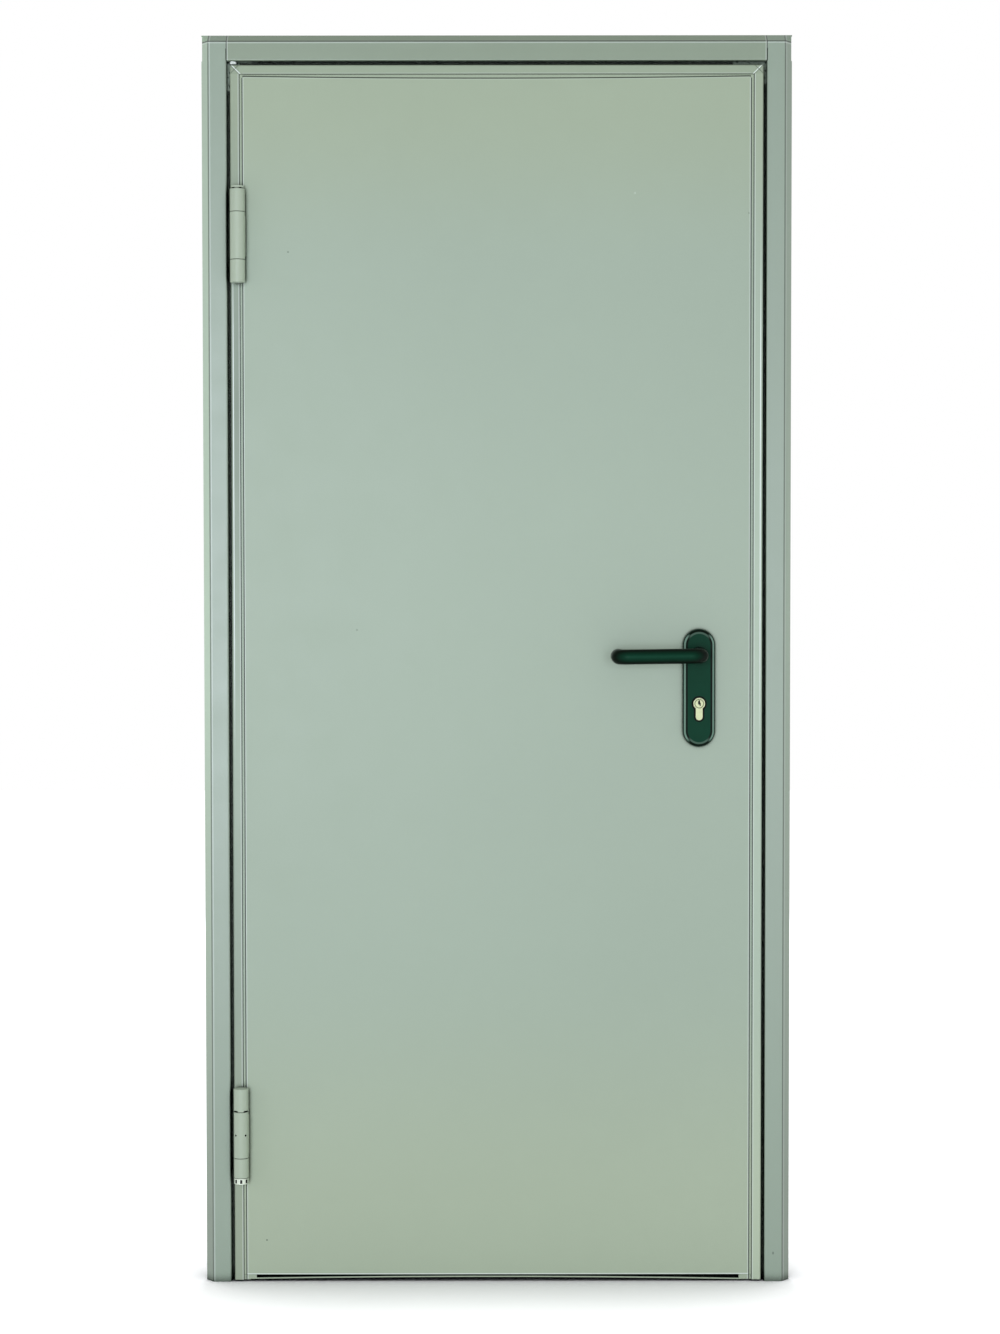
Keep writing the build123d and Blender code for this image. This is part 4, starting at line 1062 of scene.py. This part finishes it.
for place_name, height_up in (("high", inner_high.z - 13 * MM), ("low", inner_low.z + 22 * MM)):
    screws.append(turned(
        f"inner_plate_screw_{place_name}", PAN_HEAD, Vector((inner_x, inner_high.y, height_up)),
        (0, 1, 0), zinc_steel, "leaf"))
print("screws", [piece.name for piece in screws])

# %% [markdown]
# ## The dab of sealant
# In the upper left corner of the gap sits a pale dab of sealant, squeezed out where header and jamb meet.
# A ball of points pushed about by noise, flattened against the header, looks like it, where a plain
# ball would not. The noise is Blender's own and always gives the same dab.


# %% Sealant dab
def dab(name, low, high, seed):
    """A lump of sealant that fills a box loosely."""
    mesh = bmesh.new()
    bmesh.ops.create_icosphere(mesh, subdivisions=4, radius=1.0)
    middle = (low + high) / 2
    half = (high - low) / 2
    for vertex in mesh.verts:
        way = vertex.co.normalized()
        lump = 0.82 + 0.16 * noise.noise(way * 1.7 + Vector((seed, 0, 0)))
        lump += 0.05 * noise.noise(way * 5.0 + Vector((0, seed, 0)))
        squared = Vector([math.copysign(abs(v) ** 0.7, v) for v in way])
        vertex.co = middle + Vector([h * min(1.0, max(-1.0, lump * v)) for h, v in zip(half, squared)])
    bmesh.ops.recalc_face_normals(mesh, faces=mesh.faces)
    piece = finished(name, mesh, sealant, "frame")
    for face in piece.data.polygons:
        face.use_smooth = True
    return piece


corner_dab = dab(
    "corner_sealant_left",
    Vector((leaf_low.x - 1.6 * MM, face_y + 0.6 * MM, leaf_high.z + 0.9 * MM)),
    Vector((leaf_low.x + 10.5 * MM, face_y + 10.0 * MM, opening_top + 0.4 * MM)),
    3.1,
)
print("sealant dab has", len(corner_dab.data.vertices), "points")

# %% [markdown]
# ## White floor and white room
# The picture's ground is white and has no horizon. Floor and room are white to the camera and in what
# metal reflects, while the light that they throw on the door stays weak. Near the door, where the floor
# sees less open air, it isn't whitened, and its colour is painted nearly black there as a painted shadow.
# Its white glow is no lamp: telling the renderer so saves time.


# %% Which rays see white
def seen_or_mirrored(tree):
    """One for rays from the camera and for those that metal or glass sends on, nought for the rest."""
    ray = add(tree, "LightPath").outputs
    mirrored = maths(tree, "MAXIMUM", ray["Is Glossy Ray"], ray["Is Transmission Ray"])
    return maths(tree, "MAXIMUM", ray["Is Camera Ray"], mirrored)


print("floor and room use it")

# %% Floor
FLOOR_HALF = 9.0
WHITENING = 0.8
floor_mesh = bmesh.new()
corners = [(-1, -1), (1, -1), (1, 1), (-1, 1)]
floor_mesh.faces.new([floor_mesh.verts.new((FLOOR_HALF * x, FLOOR_HALF * y, 0.0)) for x, y in corners])
floor_data = bpy.data.meshes.new("floor")
floor_mesh.to_mesh(floor_data)
floor_mesh.free()
floor = bpy.data.objects.new("floor", floor_data)
bpy.context.scene.collection.objects.link(floor)
floor_material, tree, principled = new_finish("floor_white")
dust = mottle(tree, spot(tree), 40.0, 4.0)
open_air = add(tree, "AmbientOcclusion", {"Distance": 0.3}, samples=2).outputs["AO"]
pale = blend(tree, dust, screen(236, 237, 236), screen(242, 242, 241))
# painted shadow: nearly black colour where the floor sees little open air
shadowed = blend(tree, band(tree, open_air, 0.08, 0.4), screen(2, 4, 2), pale)
tree.links.new(shadowed, principled.inputs["Base Color"])
principled.inputs["Roughness"].default_value = 0.9
principled.inputs["Specular IOR Level"].default_value = 0.0
principled.inputs["Emission Color"].default_value = (1, 1, 1, 1)
whitening = product(tree, seen_or_mirrored(tree), band(tree, open_air, 0.45, 1.0))
tree.links.new(product(tree, whitening, WHITENING), principled.inputs["Emission Strength"])
floor_material.cycles.emission_sampling = "NONE"
floor_data.materials.append(floor_material)
print("floor is", 2 * FLOOR_HALF, "metres wide")

# %% [markdown]
# ## Room light and lamps
# The room lights the door softly from all sides. The narrow lamp at the front left is the strongest: it
# makes the paint glow on the left and fade to the right, where a weaker one fills in. Two faint ones at
# the sides pick out lips and knuckles, and a square one lights the back.

# %% Room light
ROOM_LIGHT = 0.5
world = bpy.data.worlds.new("soft_room")
bpy.context.scene.world = world
world.use_nodes = True
tree = world.node_tree
tree.nodes.clear()
strengths = {0: seen_or_mirrored(tree), 2: ROOM_LIGHT, 3: 1.0}
strength = add(tree, "Mix", strengths, data_type="FLOAT").outputs[0]
background = add(tree, "Background", {"Color": (1, 1, 1, 1), "Strength": strength})
world_output = tree.nodes.new("ShaderNodeOutputWorld")
tree.links.new(background.outputs[0], world_output.inputs["Surface"])
print("room light", ROOM_LIGHT)

# %% Lamps
COOL = (0.82, 0.88, 1.0)


def lamp(name, where, aim, size, watts):
    """A large soft lamp that faces a point; its size is its width and height in metres."""
    data = bpy.data.lights.new(name, "AREA")
    data.color = COOL
    data.shape = "RECTANGLE"
    data.size, data.size_y = size
    data.energy = watts
    made = bpy.data.objects.new(name, data)
    bpy.context.scene.collection.objects.link(made)
    made.location = where
    made.rotation_euler = (Vector(aim) - Vector(where)).to_track_quat("-Z", "Y").to_euler()


lamp("front_left", (-0.5, -4.3, 1.0), (0.1, 0.0, 0.95), (0.33, 1.6), 64.0)
lamp("front_right", (1.62, -4.3, 1.0), (0.8, 0.0, 0.95), (0.3, 1.5), 28.0)
lamp("side_left", (-2.97, -1.85, 1.0), (0.0, 0.0, 1.0), (0.25, 1.7), 6.0)
lamp("side_right", (3.9, -1.6, 1.0), (0.79, 0.0, 1.0), (0.25, 1.7), 5.0)
lamp("behind", (0.4, 4.2, 1.3), (0.4, 0.0, 0.95), (1.4, 1.4), 45.0)
bpy.context.scene.view_settings.view_transform = "Standard"
print("lit by the room and", len(bpy.data.lights), "lamps")
